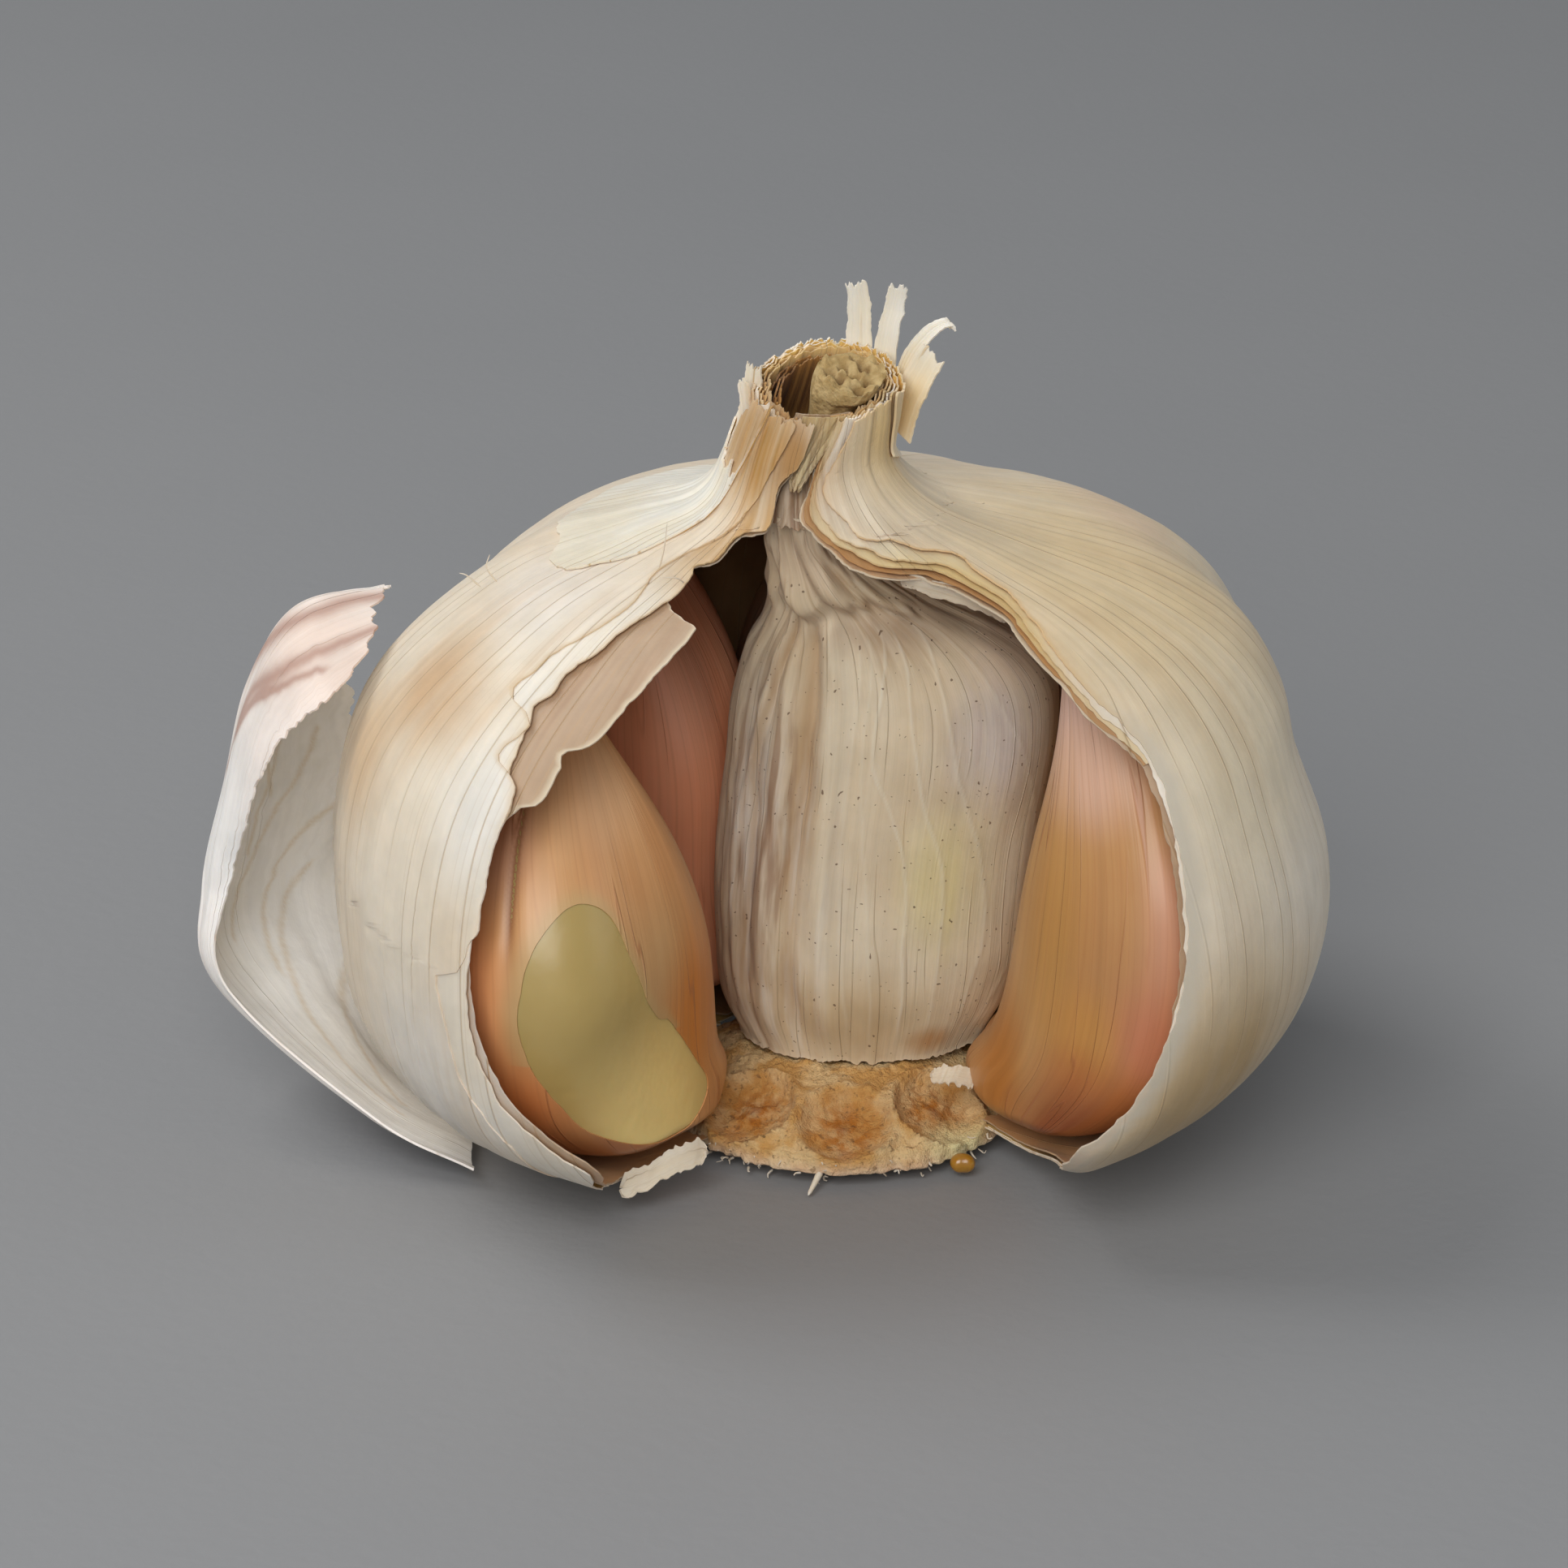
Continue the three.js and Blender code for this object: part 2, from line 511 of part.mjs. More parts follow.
// Root plate: a corky low cone with a flat foot, three scars where cloves were pulled off, and root stubs.
function rootPlate() {
  const side = [
    [0, 0], [FOOT_RADIUS, 0], [9.4, 0.35], [PLATE_RADIUS, 1.0], [10.5, 1.9], [9.2, 2.9], [7.6, 3.9], [6.2, 4.5],
    [4.8, PLATE_TOP], [0, PLATE_TOP],
  ];
  const lathe = new THREE.LatheGeometry(side.map(([r, z]) => new THREE.Vector2(r, z)), 36);
  lathe.rotateX(Math.PI / 2);
  let plate = solidOf(lathe);
  for (const angle of SCAR_ANGLES) {
    const dish = new THREE.SphereGeometry(SCAR_RADIUS * 1.25, 16, 10);
    dish.scale(1, 1, 0.5);
    dish.rotateY(SCAR_TILT * DEGREE);
    const lift = SCAR_RADIUS * 1.25 * 0.5 - SCAR_DEPTH;
    dish.translate(
      SCAR_DISTANCE + lift * Math.sin(SCAR_TILT * DEGREE), 0, SCAR_HEIGHT + lift * Math.cos(SCAR_TILT * DEGREE),
    );
    dish.rotateZ(angle * DEGREE);
    plate = plate.subtract(solidOf(dish));
  }
  const roots = [[-95, 9.6, 1.5], [-62, 9.4, 1.1], [-120, 9.5, 1.0], [-40, 9.6, 0.9], [-150, 9.4, 0.9]];
  for (const [angle, distance, length] of roots) {
    const root = new THREE.CylinderGeometry(0.42, 0.26, length + 1.2, 6);
    root.rotateX(Math.PI / 2);
    root.rotateY(-58 * DEGREE);
    root.translate(distance, 0, 0.95);
    root.rotateZ(angle * DEGREE);
    plate = plate.add(solidOf(root));
  }
  for (const bit of PLATE_BITS) {
    const flake = new THREE.SphereGeometry(1, 12, 8);
    flake.scale(...bit.half);
    flake.rotateY(bit.tilt * DEGREE);
    flake.rotateZ(bit.turn * DEGREE);
    flake.translate(...bit.at);
    plate = plate.add(solidOf(flake));
  }
  return geometryFrom(plate);
}

// The bulb put together

const material = (color, roughness) => new THREE.MeshStandardMaterial({ color, roughness, metalness: 0 });
const PAPER = material(0xe9dcc6, 0.75);
const INNER_PAPER = material(0xd9c6a8, 0.8);
const CLOVE_SKIN = material(0xc99a72, 0.55);
const FLESH = material(0xe3d792, 0.4);
const CORK = material(0xd0ae7c, 0.9);
const PITH = material(0xd8c8a0, 0.9);

const bulb = new THREE.Group();

function add(name, geometry, finish) {
  const mesh = new THREE.Mesh(geometry, finish.clone());
  mesh.name = name;
  bulb.add(mesh);
}

add('root_plate', rootPlate(), CORK);
add('flower_stalk', flowerStalk(), PITH);
add('clove_middle', middleClove(), CLOVE_SKIN);
add('clove_left', leftCloveFlesh(), FLESH);
add('clove_left_skin', leftCloveSkin(), CLOVE_SKIN);
for (const name of ['left_back', 'back', 'right_back', 'right']) {
  add(`clove_${name}`, ringClove(name), CLOVE_SKIN);
}
add('middle_leaf', middleLeaf(), INNER_PAPER);
add('neck_roll', neckRoll(), INNER_PAPER);
add('under_skin', underSkin(), INNER_PAPER);
add('outer_skin', outerSkin(), PAPER);
add('collar', collar(), PAPER);
add('peeled_skin', peeledSkin(), PAPER);

export default bulb;
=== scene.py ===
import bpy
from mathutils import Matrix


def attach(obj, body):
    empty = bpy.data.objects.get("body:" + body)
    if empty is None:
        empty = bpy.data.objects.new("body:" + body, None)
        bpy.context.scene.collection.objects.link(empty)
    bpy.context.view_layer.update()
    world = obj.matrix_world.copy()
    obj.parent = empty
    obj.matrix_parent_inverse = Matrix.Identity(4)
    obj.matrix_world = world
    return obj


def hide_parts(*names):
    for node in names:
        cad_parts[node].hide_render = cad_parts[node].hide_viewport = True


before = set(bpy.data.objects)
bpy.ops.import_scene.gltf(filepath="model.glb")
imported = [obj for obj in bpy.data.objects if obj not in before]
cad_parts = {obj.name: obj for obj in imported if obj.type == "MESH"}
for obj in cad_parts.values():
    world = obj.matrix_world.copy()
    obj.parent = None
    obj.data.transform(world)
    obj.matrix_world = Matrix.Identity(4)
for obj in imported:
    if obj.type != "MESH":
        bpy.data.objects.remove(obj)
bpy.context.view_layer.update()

from math import pi, radians

import bpy
import numpy as np
from mathutils import Vector

# Camera, at the height of a person leaning over the table, and a plain pale floor under soft light that
# comes over the bulb's left shoulder.
AIM = Vector((-0.00363, 0, 0.02136))
CAMERA_DISTANCE = 0.42
CAMERA_ELEVATION = radians(22)

bpy.ops.object.select_all(action="DESELECT")
bpy.ops.object.camera_add(
    location=AIM + CAMERA_DISTANCE * Vector((0, -np.cos(CAMERA_ELEVATION), np.sin(CAMERA_ELEVATION))),
    rotation=(pi / 2 - CAMERA_ELEVATION, 0, 0),
)
camera = bpy.context.object
camera.data.sensor_width = 36
camera.data.lens = 159.7
camera.data.clip_start = 0.01
bpy.context.scene.camera = camera
bpy.context.scene.view_settings.view_transform = "Standard"


def soft_light(name, place, size, power, colour):
    """A square lamp turned towards the bulb."""
    bpy.ops.object.light_add(type="AREA", location=place)
    lamp = bpy.context.object
    lamp.name = name
    lamp.rotation_euler = (AIM - Vector(place)).to_track_quat("-Z", "Y").to_euler()
    lamp.data.size = size
    lamp.data.energy = power
    lamp.data.color = colour


soft_light("window", (-0.34, 0.16, 0.44), 0.34, 1.5, (1.0, 0.97, 0.93))
soft_light("front_fill", (-0.14, -0.55, 0.4), 0.45, 3.4, (1.0, 0.975, 0.94))
soft_light("right_fill", (0.55, -0.1, 0.25), 0.4, 0.5, (1.0, 0.97, 0.92))

world = bpy.data.worlds.new("room")
bpy.context.scene.world = world
world.use_nodes = True
world.node_tree.nodes["Background"].inputs["Color"].default_value = (0.92, 0.96, 1.0, 1)
world.node_tree.nodes["Background"].inputs["Strength"].default_value = 0.25


def add_node(material, kind, inputs=(), output=0, **settings):
    """Adds a node, sets or links its inputs, and gives back one of its outputs."""
    node = material.node_tree.nodes.new("ShaderNode" + kind)
    for key, value in settings.items():
        setattr(node, key, value)
    for key, value in dict(inputs).items():
        if isinstance(value, bpy.types.NodeSocket):
            material.node_tree.links.new(value, node.inputs[key])
        else:
            node.inputs[key].default_value = value
    return node.outputs[output]


def new_material(name, roughness, sheen=0.0, subsurface=0.0, coat=0.0):
    """A material and its shader, with what is the same all over set on the shader itself."""
    material = bpy.data.materials.new(name)
    material.use_nodes = True
    shader = material.node_tree.nodes["Principled BSDF"]
    shader.inputs["Roughness"].default_value = roughness
    shader.inputs["Sheen Weight"].default_value = sheen
    shader.inputs["Subsurface Weight"].default_value = subsurface
    shader.inputs["Subsurface Radius"].default_value = (1.0, 0.6, 0.35)
    shader.inputs["Subsurface Scale"].default_value = 0.0012
    shader.inputs["Coat Weight"].default_value = coat
    shader.inputs["Coat Roughness"].default_value = 0.3
    return material


def finish_material(material, colour, height, depth):
    """Puts a colour on the shader, and relief in metres of depth from a height between 0 and 1."""
    shader = material.node_tree.nodes["Principled BSDF"]
    material.node_tree.links.new(colour, shader.inputs["Base Color"])
    bump = add_node(material, "Bump", {"Height": height, "Distance": depth, "Strength": 1.0})
    material.node_tree.links.new(bump, shader.inputs["Normal"])


def noise(material, scale, detail=3.0, place=None, roughness=0.5):
    """Cloudy noise by place on the bulb, with about this many clouds to the metre."""
    place = place or add_node(material, "TexCoord", output="Object")
    inputs = {"Vector": place, "Scale": scale, "Detail": detail, "Roughness": roughness}
    return add_node(material, "TexNoise", inputs)


def between(material, value, low, high, bottom=0.0, top=1.0):
    """A value's soft rise from bottom to top as it goes from low to high."""
    inputs = {"Value": value, "From Min": low, "From Max": high, "To Min": bottom, "To Max": top}
    return add_node(material, "MapRange", inputs, interpolation_type="SMOOTHSTEP")


def times(material, a, b):
    return add_node(material, "Math", {0: a, 1: b}, operation="MULTIPLY")


def plus(material, a, b):
    return add_node(material, "Math", {0: a, 1: b}, operation="ADD")


def paint(material, under, over, amount, mode="MIX"):
    """One colour laid over another; colours are sockets or red, green and blue."""
    under, over = (c if isinstance(c, bpy.types.NodeSocket) else (*c, 1) for c in (under, over))
    return add_node(material, "MixRGB", {"Fac": amount, "Color1": under, "Color2": over}, blend_type=mode)


bpy.ops.mesh.primitive_grid_add(x_subdivisions=8, y_subdivisions=8, size=4)
floor = bpy.context.object
floor.name = "floor"
floor_grey = new_material("floor_grey", 0.6)
grey = paint(floor_grey, (0.25, 0.257, 0.27), (0.265, 0.272, 0.285), noise(floor_grey, 30))
finish_material(floor_grey, grey, noise(floor_grey, 900), 0.00004)
floor.data.materials.append(floor_grey)

# The papery skins. Dried leaf bases wrap the bulb from the root plate to the cut neck, one over the other, and
# are torn open at the front. All follow one lobed surface, here in millimetres, and differ in how far they
# stand off it and where they are torn.
MM = 0.001
NECK_CUT = 49.2
PROFILE = [
    (10.6, 2.2), (17.5, 2.5), (23.2, 4.3), (27.8, 8.2), (30.2, 13.7), (30.4, 20.0), (28.5, 26.2), (24.5, 31.6),
    (18.8, 35.8), (12.0, 38.2), (7.2, 39.9), (4.9, 42.6), (4.25, 46.2), (4.25, NECK_CUT),
]
FURROWS = [160, 109, 60, 11]
FURROW_DEPTH = 0.06
FURROW_WIDTH = 9


def smooth(low, high, x):
    t = np.clip((x - low) / (high - low), 0, 1)
    return t * t * (3 - 2 * t)


def bell(x, width):
    return np.exp(-((x / width) ** 2))


def turned(angle):
    return (angle + 180) % 360 - 180


def line_through(*points):
    """A smooth line through (x, y) points with rising x, read at x."""
    xs, ys = np.array(points, float).T
    last = len(xs) - 1

    def at(x):
        x = np.asarray(x, float)
        k = np.clip(np.searchsorted(xs, x, side="left") - 1, 0, last - 1)
        before, after = np.maximum(k - 1, 0), np.minimum(k + 2, last)
        run = xs[k + 1] - xs[k]
        t = np.clip((x - xs[k]) / run, 0, 1)
        start = (ys[k + 1] - ys[before]) / (xs[k + 1] - xs[before]) * run
        stop = (ys[after] - ys[k]) / (xs[after] - xs[k]) * run
        rise = t * t * (3 - 2 * t)
        return ys[k] * (1 - rise) + ys[k + 1] * rise + start * t * (1 - t) ** 2 - stop * t * t * (1 - t)

    return at


def curve_through(points):
    """A smooth curve through points, read at shares from 0 to 1, with as much for each stretch."""
    points = np.array(points, float)
    ends = np.vstack([2 * points[0] - points[1], points, 2 * points[-1] - points[-2]])

    def at(share):
        place = np.clip(share, 0, 1) * (len(points) - 1)
        k = np.minimum(place.astype(int), len(points) - 2)
        t = (place - k)[..., None]
        before, a, b, after = (ends[k + i] for i in range(4))
        out, into = (b - before) / 2, (after - a) / 2
        return a + out * t + (3 * (b - a) - 2 * out - into) * t**2 + (2 * (a - b) + out + into) * t**3

    return at


def patchy(x, y, seed):
    """Soft random hills between -1 and 1, one to a unit square."""
    heights = np.random.default_rng(seed).uniform(-1, 1, (97, 97))
    x, y = np.broadcast_arrays(np.asarray(x, float), np.asarray(y, float))
    i, j = np.floor(x).astype(int), np.floor(y).astype(int)
    s, t = smooth(0, 1, x - i), smooth(0, 1, y - j)
    i, j, k, m = i % 97, j % 97, (i + 1) % 97, (j + 1) % 97
    return (heights[i, j] * (1 - s) + heights[k, j] * s) * (1 - t) + (heights[i, m] * (1 - s) + heights[k, m] * s) * t


def torn(x, seed):
    """The ragged line of a tear, between -1 and 1."""
    return 0.5 * patchy(x, 0, seed) + 0.32 * patchy(x * 3.1, 1, seed) + 0.18 * patchy(x * 8.3, 2, seed)


profile = curve_through(PROFILE)
neck_x = line_through((34, 0), (37, -0.5), (40, -1.6), (43, -2.1), (46, -1.6), (50, -0.7))
neck_y = line_through((34, 0), (38, -0.3), (42, -1.0), (46, -1.9), (50, -2.6))
right_lobes = line_through(
    (2, -0.04), (8, -0.045), (14, -0.04), (19, -0.05), (25, -0.074), (29, -0.028), (33, 0.014), (37, 0.01)
)
left_shoulder = line_through((16, 0), (22, 0.01), (28, 0.025), (33, 0.01), (37, 0))


def body_shape(angle, height):
    """The bulb's lobes, as a share of a round bulb's radius."""
    body = smooth(2, 12, height) * (1 - smooth(33, 40, height))
    shape = 1 + right_lobes(height) * bell(turned(angle - 4), 42) * (1 - smooth(35, 40, height))
    for furrow in FURROWS:
        shape = shape - FURROW_DEPTH * body * bell(turned(angle - furrow), FURROW_WIDTH)
    shape = shape + left_shoulder(height) * bell(turned(angle - 190), 40)
    return shape + 0.05 * bell(turned(angle - 205), 40) * bell(height - 6, 6)


def sag(angle, height):
    return 1.0 * bell(turned(angle + 140), 50) * (1 - smooth(4, 14, height))


def wrapper_point(angle, v, offset):
    """A point on the bulb, v of the way from the root plate to the cut neck, offset outwards."""
    middle = profile(v)
    along = profile(v + 1e-4) - profile(v - 1e-4)
    along /= np.linalg.norm(along, axis=-1, keepdims=True)
    radius = middle[..., 0] * body_shape(angle, middle[..., 1]) + along[..., 1] * offset
    height = middle[..., 1] - along[..., 0] * offset
    x = radius * np.cos(np.radians(angle)) + neck_x(height)
    y = radius * np.sin(np.radians(angle)) + neck_y(height)
    return np.stack([x, y, height - sag(angle, middle[..., 1])], -1)


def lay_out(piece, points, grain, *marks):
    """Puts a piece's points in place and stores its grain, two numbers across the veins and one along them, and
    its marks, which are lines, stained patches and painted shade that a material paints."""
    piece.data.vertices.foreach_set("co", points.ravel() * MM)
    vein = piece.data.attributes.new("grain", "FLOAT_VECTOR", "POINT")
    vein.data.foreach_set("vector", np.stack(np.broadcast_arrays(*grain), -1).ravel())
    for number, mark in enumerate(marks, 1):
        stain_and_painted_light = piece.data.attributes.new(f"mark_{number}", "FLOAT", "POINT")
        stain_and_painted_light.data.foreach_set("value", np.clip(mark, 0, 1))


def round_grain(angle, along):
    """Grain of a piece whose veins run up it, by the angle round it in degrees."""
    return np.cos(np.radians(angle)), np.sin(np.radians(angle)), along


def apply_modifier(piece, kind, **settings):
    modifier = piece.modifiers.new(kind.title(), kind)
    for key, value in settings.items():
        setattr(modifier, key, value)
    bpy.ops.object.modifier_apply(modifier=modifier.name)


def sheet(name, columns, rows, surface, thickness, closed=False):
    """A thin skin: a grid laid on surface(u, v), which gives points in millimetres and the grain."""
    bpy.ops.object.select_all(action="DESELECT")
    bpy.ops.mesh.primitive_grid_add(x_subdivisions=columns, y_subdivisions=rows, size=1)
    piece = bpy.context.object
    piece.name = name
    places = np.empty(len(piece.data.vertices) * 3)
    piece.data.vertices.foreach_get("co", places)
    u, v = places.reshape(-1, 3)[:, :2].T + 0.5
    lay_out(piece, *surface(u, v))
    if closed:
        bpy.ops.object.mode_set(mode="EDIT")
        bpy.ops.mesh.remove_doubles(threshold=1e-6)
        bpy.ops.object.mode_set(mode="OBJECT")
    for side in range(2):
        piece.data.materials.append(None)
    apply_modifier(piece, "SOLIDIFY", thickness=thickness * MM, offset=0, material_offset=1, material_offset_rim=0)
    bpy.ops.object.shade_smooth_by_angle(angle=radians(50))
    return piece


def dress(piece, slot, materials, *nodes):
    """Puts a finished piece's materials on it and joins it to the part's frame."""
    for number, material in enumerate(materials):
        if number < len(piece.data.materials):
            piece.data.materials[number] = material
        else:
            piece.data.materials.append(material)
    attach(piece, "root")
    if nodes:
        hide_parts(*nodes)


def fibre(material, across, along, detail=2.0, shift=0.0):
    """Noise drawn out along the veins."""
    veins = add_node(material, "Attribute", output="Vector", attribute_name="grain")
    mapping = {"Vector": veins, "Location": (shift, shift, shift), "Scale": (across, across, along)}
    return noise(material, 1.0, detail, add_node(material, "Mapping", mapping))


def vein_lines(material, count, width, sway=1.0, shift=0.0):
    """Thin lines along the veins, this many to a full turn, each this share of their spacing wide."""
    veins = add_node(material, "Attribute", output="Vector", attribute_name="grain")
    x, y = (add_node(material, "SeparateXYZ", {0: veins}, output=axis) for axis in ("X", "Y"))
    turn = add_node(material, "Math", {0: y, 1: x}, operation="ARCTAN2")
    wander = times(material, fibre(material, 3, 0.8, 2, shift), 5.0 * sway)
    place = plus(material, times(material, turn, count / (2 * pi)), wander)
    away = add_node(material, "Math", {0: place, 1: 0.5}, operation="PINGPONG")
    return between(material, away, 0.0, width, 1.0, 0.0)


def marks(material, number):
    """What the piece's mesh stores as a mark: 1 where it is strongest."""
    return add_node(material, "Attribute", output="Fac", attribute_name=f"mark_{number}")


def spot(material, centre, reach):
    """A soft round patch, used for stained patches and for painted light and shade: 1 at its centre and 0 at its reach,
    in millimetres.
    """
    place = add_node(material, "TexCoord", output="Object")
    mapping = {
        "Vector": place,
        "Location": [-c / r for c, r in zip(centre, reach)],
        "Scale": [1 / (MM * r) for r in reach],
    }
    place = add_node(material, "Mapping", mapping)
    away = add_node(material, "VectorMath", {0: place}, output="Value", operation="LENGTH")
    return between(material, away, 0.15, 1.0, 1.0, 0.0)


def height_above(material, low, high):
    """0 below one height and 1 above the other, in millimetres."""
    place = add_node(material, "TexCoord", output="Object")
    z = add_node(material, "SeparateXYZ", {0: place}, output="Z")
    return between(material, z, low * MM, high * MM)


def paper(
    name, light, warm, stains_and_painted_light=(), streaks=(), lines=0.35, line_colour=(0.50, 0.31, 0.16), marked=(), count=90,
    thin=0.25, lift=1.0,
):
    """Dry garlic skin: soft clouds of two tones, thin darker veins, and stained patches, painted light and painted
    shade where they are given.
    """
    material = new_material(name, 0.55, sheen=0.06, subsurface=thin)
    drawn_out = times(material, fibre(material, 4, 1.0, 4), 0.4)
    clouds = plus(material, times(material, noise(material, 95, 3), 0.6), drawn_out)
    colour = paint(material, light, warm, between(material, clouds, 0.4, 0.6))
    for stain_and_painted_light, centre, reach, strength in stains_and_painted_light:
        broken = between(material, fibre(material, 7, 1.2, 3, centre[0]), 0.25, 0.6, 0.55, 1.0)
        amount = times(material, times(material, spot(material, centre, reach), broken), strength)
        colour = paint(material, colour, stain_and_painted_light, amount)
    for stain_and_painted_light, centre, reach, strength in streaks:
        broken = between(material, fibre(material, 11, 3.5, 4, centre[2]), 0.46, 0.62)
        amount = times(material, times(material, spot(material, centre, reach), broken), strength)
        colour = paint(material, colour, stain_and_painted_light, amount)
    fine = fibre(material, 30, 1.6, 4)
    cloudy = between(material, noise(material, 420, 4), 0.3, 0.7, 0.94, 1.03)
    tone = times(material, cloudy, between(material, fine, 0.3, 0.7, 0.95, 1.02))
    grey = add_node(material, "CombineColor", {0: tone, 1: tone, 2: tone})
    colour = paint(material, colour, grey, 1.0, "MULTIPLY")
    faded = between(material, fibre(material, 5, 3, 1, 5), 0.44, 0.58)
    veins = times(material, vein_lines(material, count, 0.055), faded)
    colour = paint(material, colour, line_colour, times(material, veins, lines))
    hair_parts = between(material, fibre(material, 9, 4, 1, 2), 0.45, 0.6)
    hair_veins = times(material, vein_lines(material, count * 3, 0.12, 2, 3), hair_parts)
    colour = paint(material, colour, line_colour, times(material, hair_veins, lines * 0.35))
    for number, stain_and_painted_light, strength in marked:
        colour = paint(material, colour, stain_and_painted_light, times(material, marks(material, number), strength))
    height = plus(material, times(material, fine, 0.3), times(material, veins, 0.35))
    height = plus(material, height, times(material, noise(material, 900, 3), 0.35))
    finish_material(material, colour, height, 0.00012 * lift)
    return material


IVORY = (0.86, 0.72, 0.56)
PINK_SKIN = (0.83, 0.66, 0.49)
WHITE_SKIN = (0.88, 0.82, 0.74)
CREAM = (0.80, 0.58, 0.33)
TAN = (0.60, 0.36, 0.19)
GOLD = (0.48, 0.24, 0.055)

wrapper_finish = paper(
    "wrapper_paper", IVORY, PINK_SKIN,
    stains_and_painted_light=[
        (CREAM, (18, -4, 37), (24, 28, 13), 0.95),
        ((0.84, 0.68, 0.47), (24, -14, 28), (12, 16, 10), 0.8),
        ((0.50, 0.32, 0.14), (21, -18, 10), (15, 14, 13), 0.95),
        ((0.78, 0.68, 0.57), (28, -12, 20), (6, 10, 6), 0.55),
        ((0.88, 0.78, 0.68), (-17, -7, 36), (8, 9, 4), 0.8),
        (TAN, (-23.5, -9.5, 30.8), (7, 8, 4.5), 0.95),
        ((0.70, 0.46, 0.27), (-28, -7, 26), (4.5, 8, 7), 0.85),
        (WHITE_SKIN, (-20.7, -18.6, 27), (5, 6, 8), 0.9),
        ((0.82, 0.74, 0.66), (-24, -18, 10), (10, 10, 9), 0.85),
        (GOLD, (-4.6, -4.7, 44), (6, 6, 7), 1.0),
        ((0.66, 0.44, 0.19), (3.4, -3.4, 45.5), (6, 6, 6.5), 0.95),
        ((0.80, 0.52, 0.36), (17, 7, 36), (9, 10, 2.5), 0.5),
    ],
    streaks=[
        ((0.66, 0.42, 0.24), (-22, -12, 33), (14, 14, 10), 0.45), ((0.62, 0.42, 0.24), (20, -10, 34), (20, 20, 14), 0.35),
        ((0.60, 0.44, 0.30), (-24, -18, 9), (10, 10, 9), 0.4), ((0.56, 0.30, 0.12), (-5, -6, 43), (7, 6, 7), 0.5),
    ],
    marked=[(1, (0.58, 0.50, 0.40), 0.9), (2, (0.56, 0.34, 0.15), 0.5)], lines=0.5,
)
NECK_TONE = ((0.78, 0.52, 0.22), (-1, -2, 49), (9, 9, 4.5), 0.9)
# Painted shade: a dark brown patch in the neck's V gap, where the inner folds lie in shade.
NECK_GAP_SHADE = ((0.46, 0.23, 0.07), (-3, -5.5, 44), (2.6, 4, 6), 0.95)
second_finish = paper(
    "second_paper", (0.90, 0.80, 0.67), (0.87, 0.74, 0.58),
    stains_and_painted_light=[((0.74, 0.53, 0.22), (8, -12, 38), (14, 12, 6), 0.9), (GOLD, (-6, -8, 40), (8, 8, 9), 0.9), NECK_GAP_SHADE],
    marked=[(2, (0.56, 0.36, 0.17), 0.5)], lines=0.5,
)
neck_finish = paper(
    "neck_layer_paper", (0.82, 0.66, 0.44), (0.78, 0.58, 0.34), lines=0.5,
    stains_and_painted_light=[((0.74, 0.53, 0.22), (8, -12, 38), (14, 12, 6), 0.9), NECK_TONE, NECK_GAP_SHADE],
    marked=[(2, (0.56, 0.36, 0.17), 0.5)],
)
yellow_finish = paper("yellow_inner_paper", (0.76, 0.50, 0.17), (0.66, 0.38, 0.11), lines=0.3)
brown_finish = paper("brown_inner_paper", (0.56, 0.31, 0.14), (0.46, 0.23, 0.09), lines=0.35, stains_and_painted_light=[NECK_TONE])
tan_finish = paper(
    "tan_inner_paper", (0.50, 0.35, 0.24), (0.43, 0.29, 0.185), lines=0.8,
    stains_and_painted_light=[(WHITE_SKIN, (-24, -18, 12), (12, 14, 14), 0.85), ((0.54, 0.30, 0.15), (3, -12, 39), (14, 12, 4), 0.8), NECK_TONE,
            NECK_GAP_SHADE],
    streaks=[((0.36, 0.20, 0.11), (-12, -14, 32), (12, 12, 9), 0.6)], marked=[(2, (0.80, 0.68, 0.50), 0.7)],
)

outer_right = line_through(
    (0, -40), (0.1, -50), (0.18, -59), (0.214, -60), (0.236, -58), (0.264, -54.8), (0.294, -52.8),
    (0.332, -50.8), (0.37, -48.8),
    (0.436, -47.2), (0.522, -46), (0.554, -47.6), (0.578, -50), (0.604, -50.9), (0.632, -49.2), (0.666, -45.2),
    (0.694, -44.6), (0.71, -42.6), (0.724, -46), (0.734, -51.6), (0.756, -58.4), (0.766, -70.4), (0.79, -73.6),
    (0.818, -80), (0.844, -82), (0.88, -72), (0.92, -63), (1, -58),
)
outer_left = line_through(
    (0, -141), (0.14, -135), (0.216, -133), (0.246, -135), (0.27, -137.6), (0.3, -138.8), (0.33, -140),
    (0.352, -140.4),
    (0.36, -137), (0.382, -135.6), (0.396, -134.4), (0.476, -134), (0.486, -133.8), (0.502, -134.8), (0.511, -138.8),
    (0.52, -139.2), (0.532, -138), (0.544, -138.6), (0.551, -143.8), (0.558, -144.8), (0.57, -144), (0.584, -143.6),
    (0.6, -142), (0.616, -139.6), (0.644, -138.4), (0.664, -140), (0.684, -142.5), (0.72, -139), (0.78, -130),
    (0.84, -121), (0.9, -111), (1, -103),
)
second_left = line_through(
    (0, -138), (0.1, -132), (0.17, -126), (0.21, -123), (0.236, -127), (0.264, -131.6), (0.304, -134.8),
    (0.334, -135.6),
    (0.364, -135.6), (0.42, -134.6), (0.476, -134.6), (0.51, -136.6), (0.535, -138), (0.541, -138), (0.552, -139.2),
    (0.566, -137.8), (0.578, -138.4), (0.59, -137.2), (0.604, -135.6), (0.622, -134.8), (0.64, -133.4),
    (0.658, -131.8), (0.67, -130.8), (0.69, -131.6), (0.7, -133.2), (0.716, -128.4), (0.76, -126.8), (0.776, -115.2),
    (0.842, -110.8), (0.87, -99), (0.91, -95), (1, -92),
)
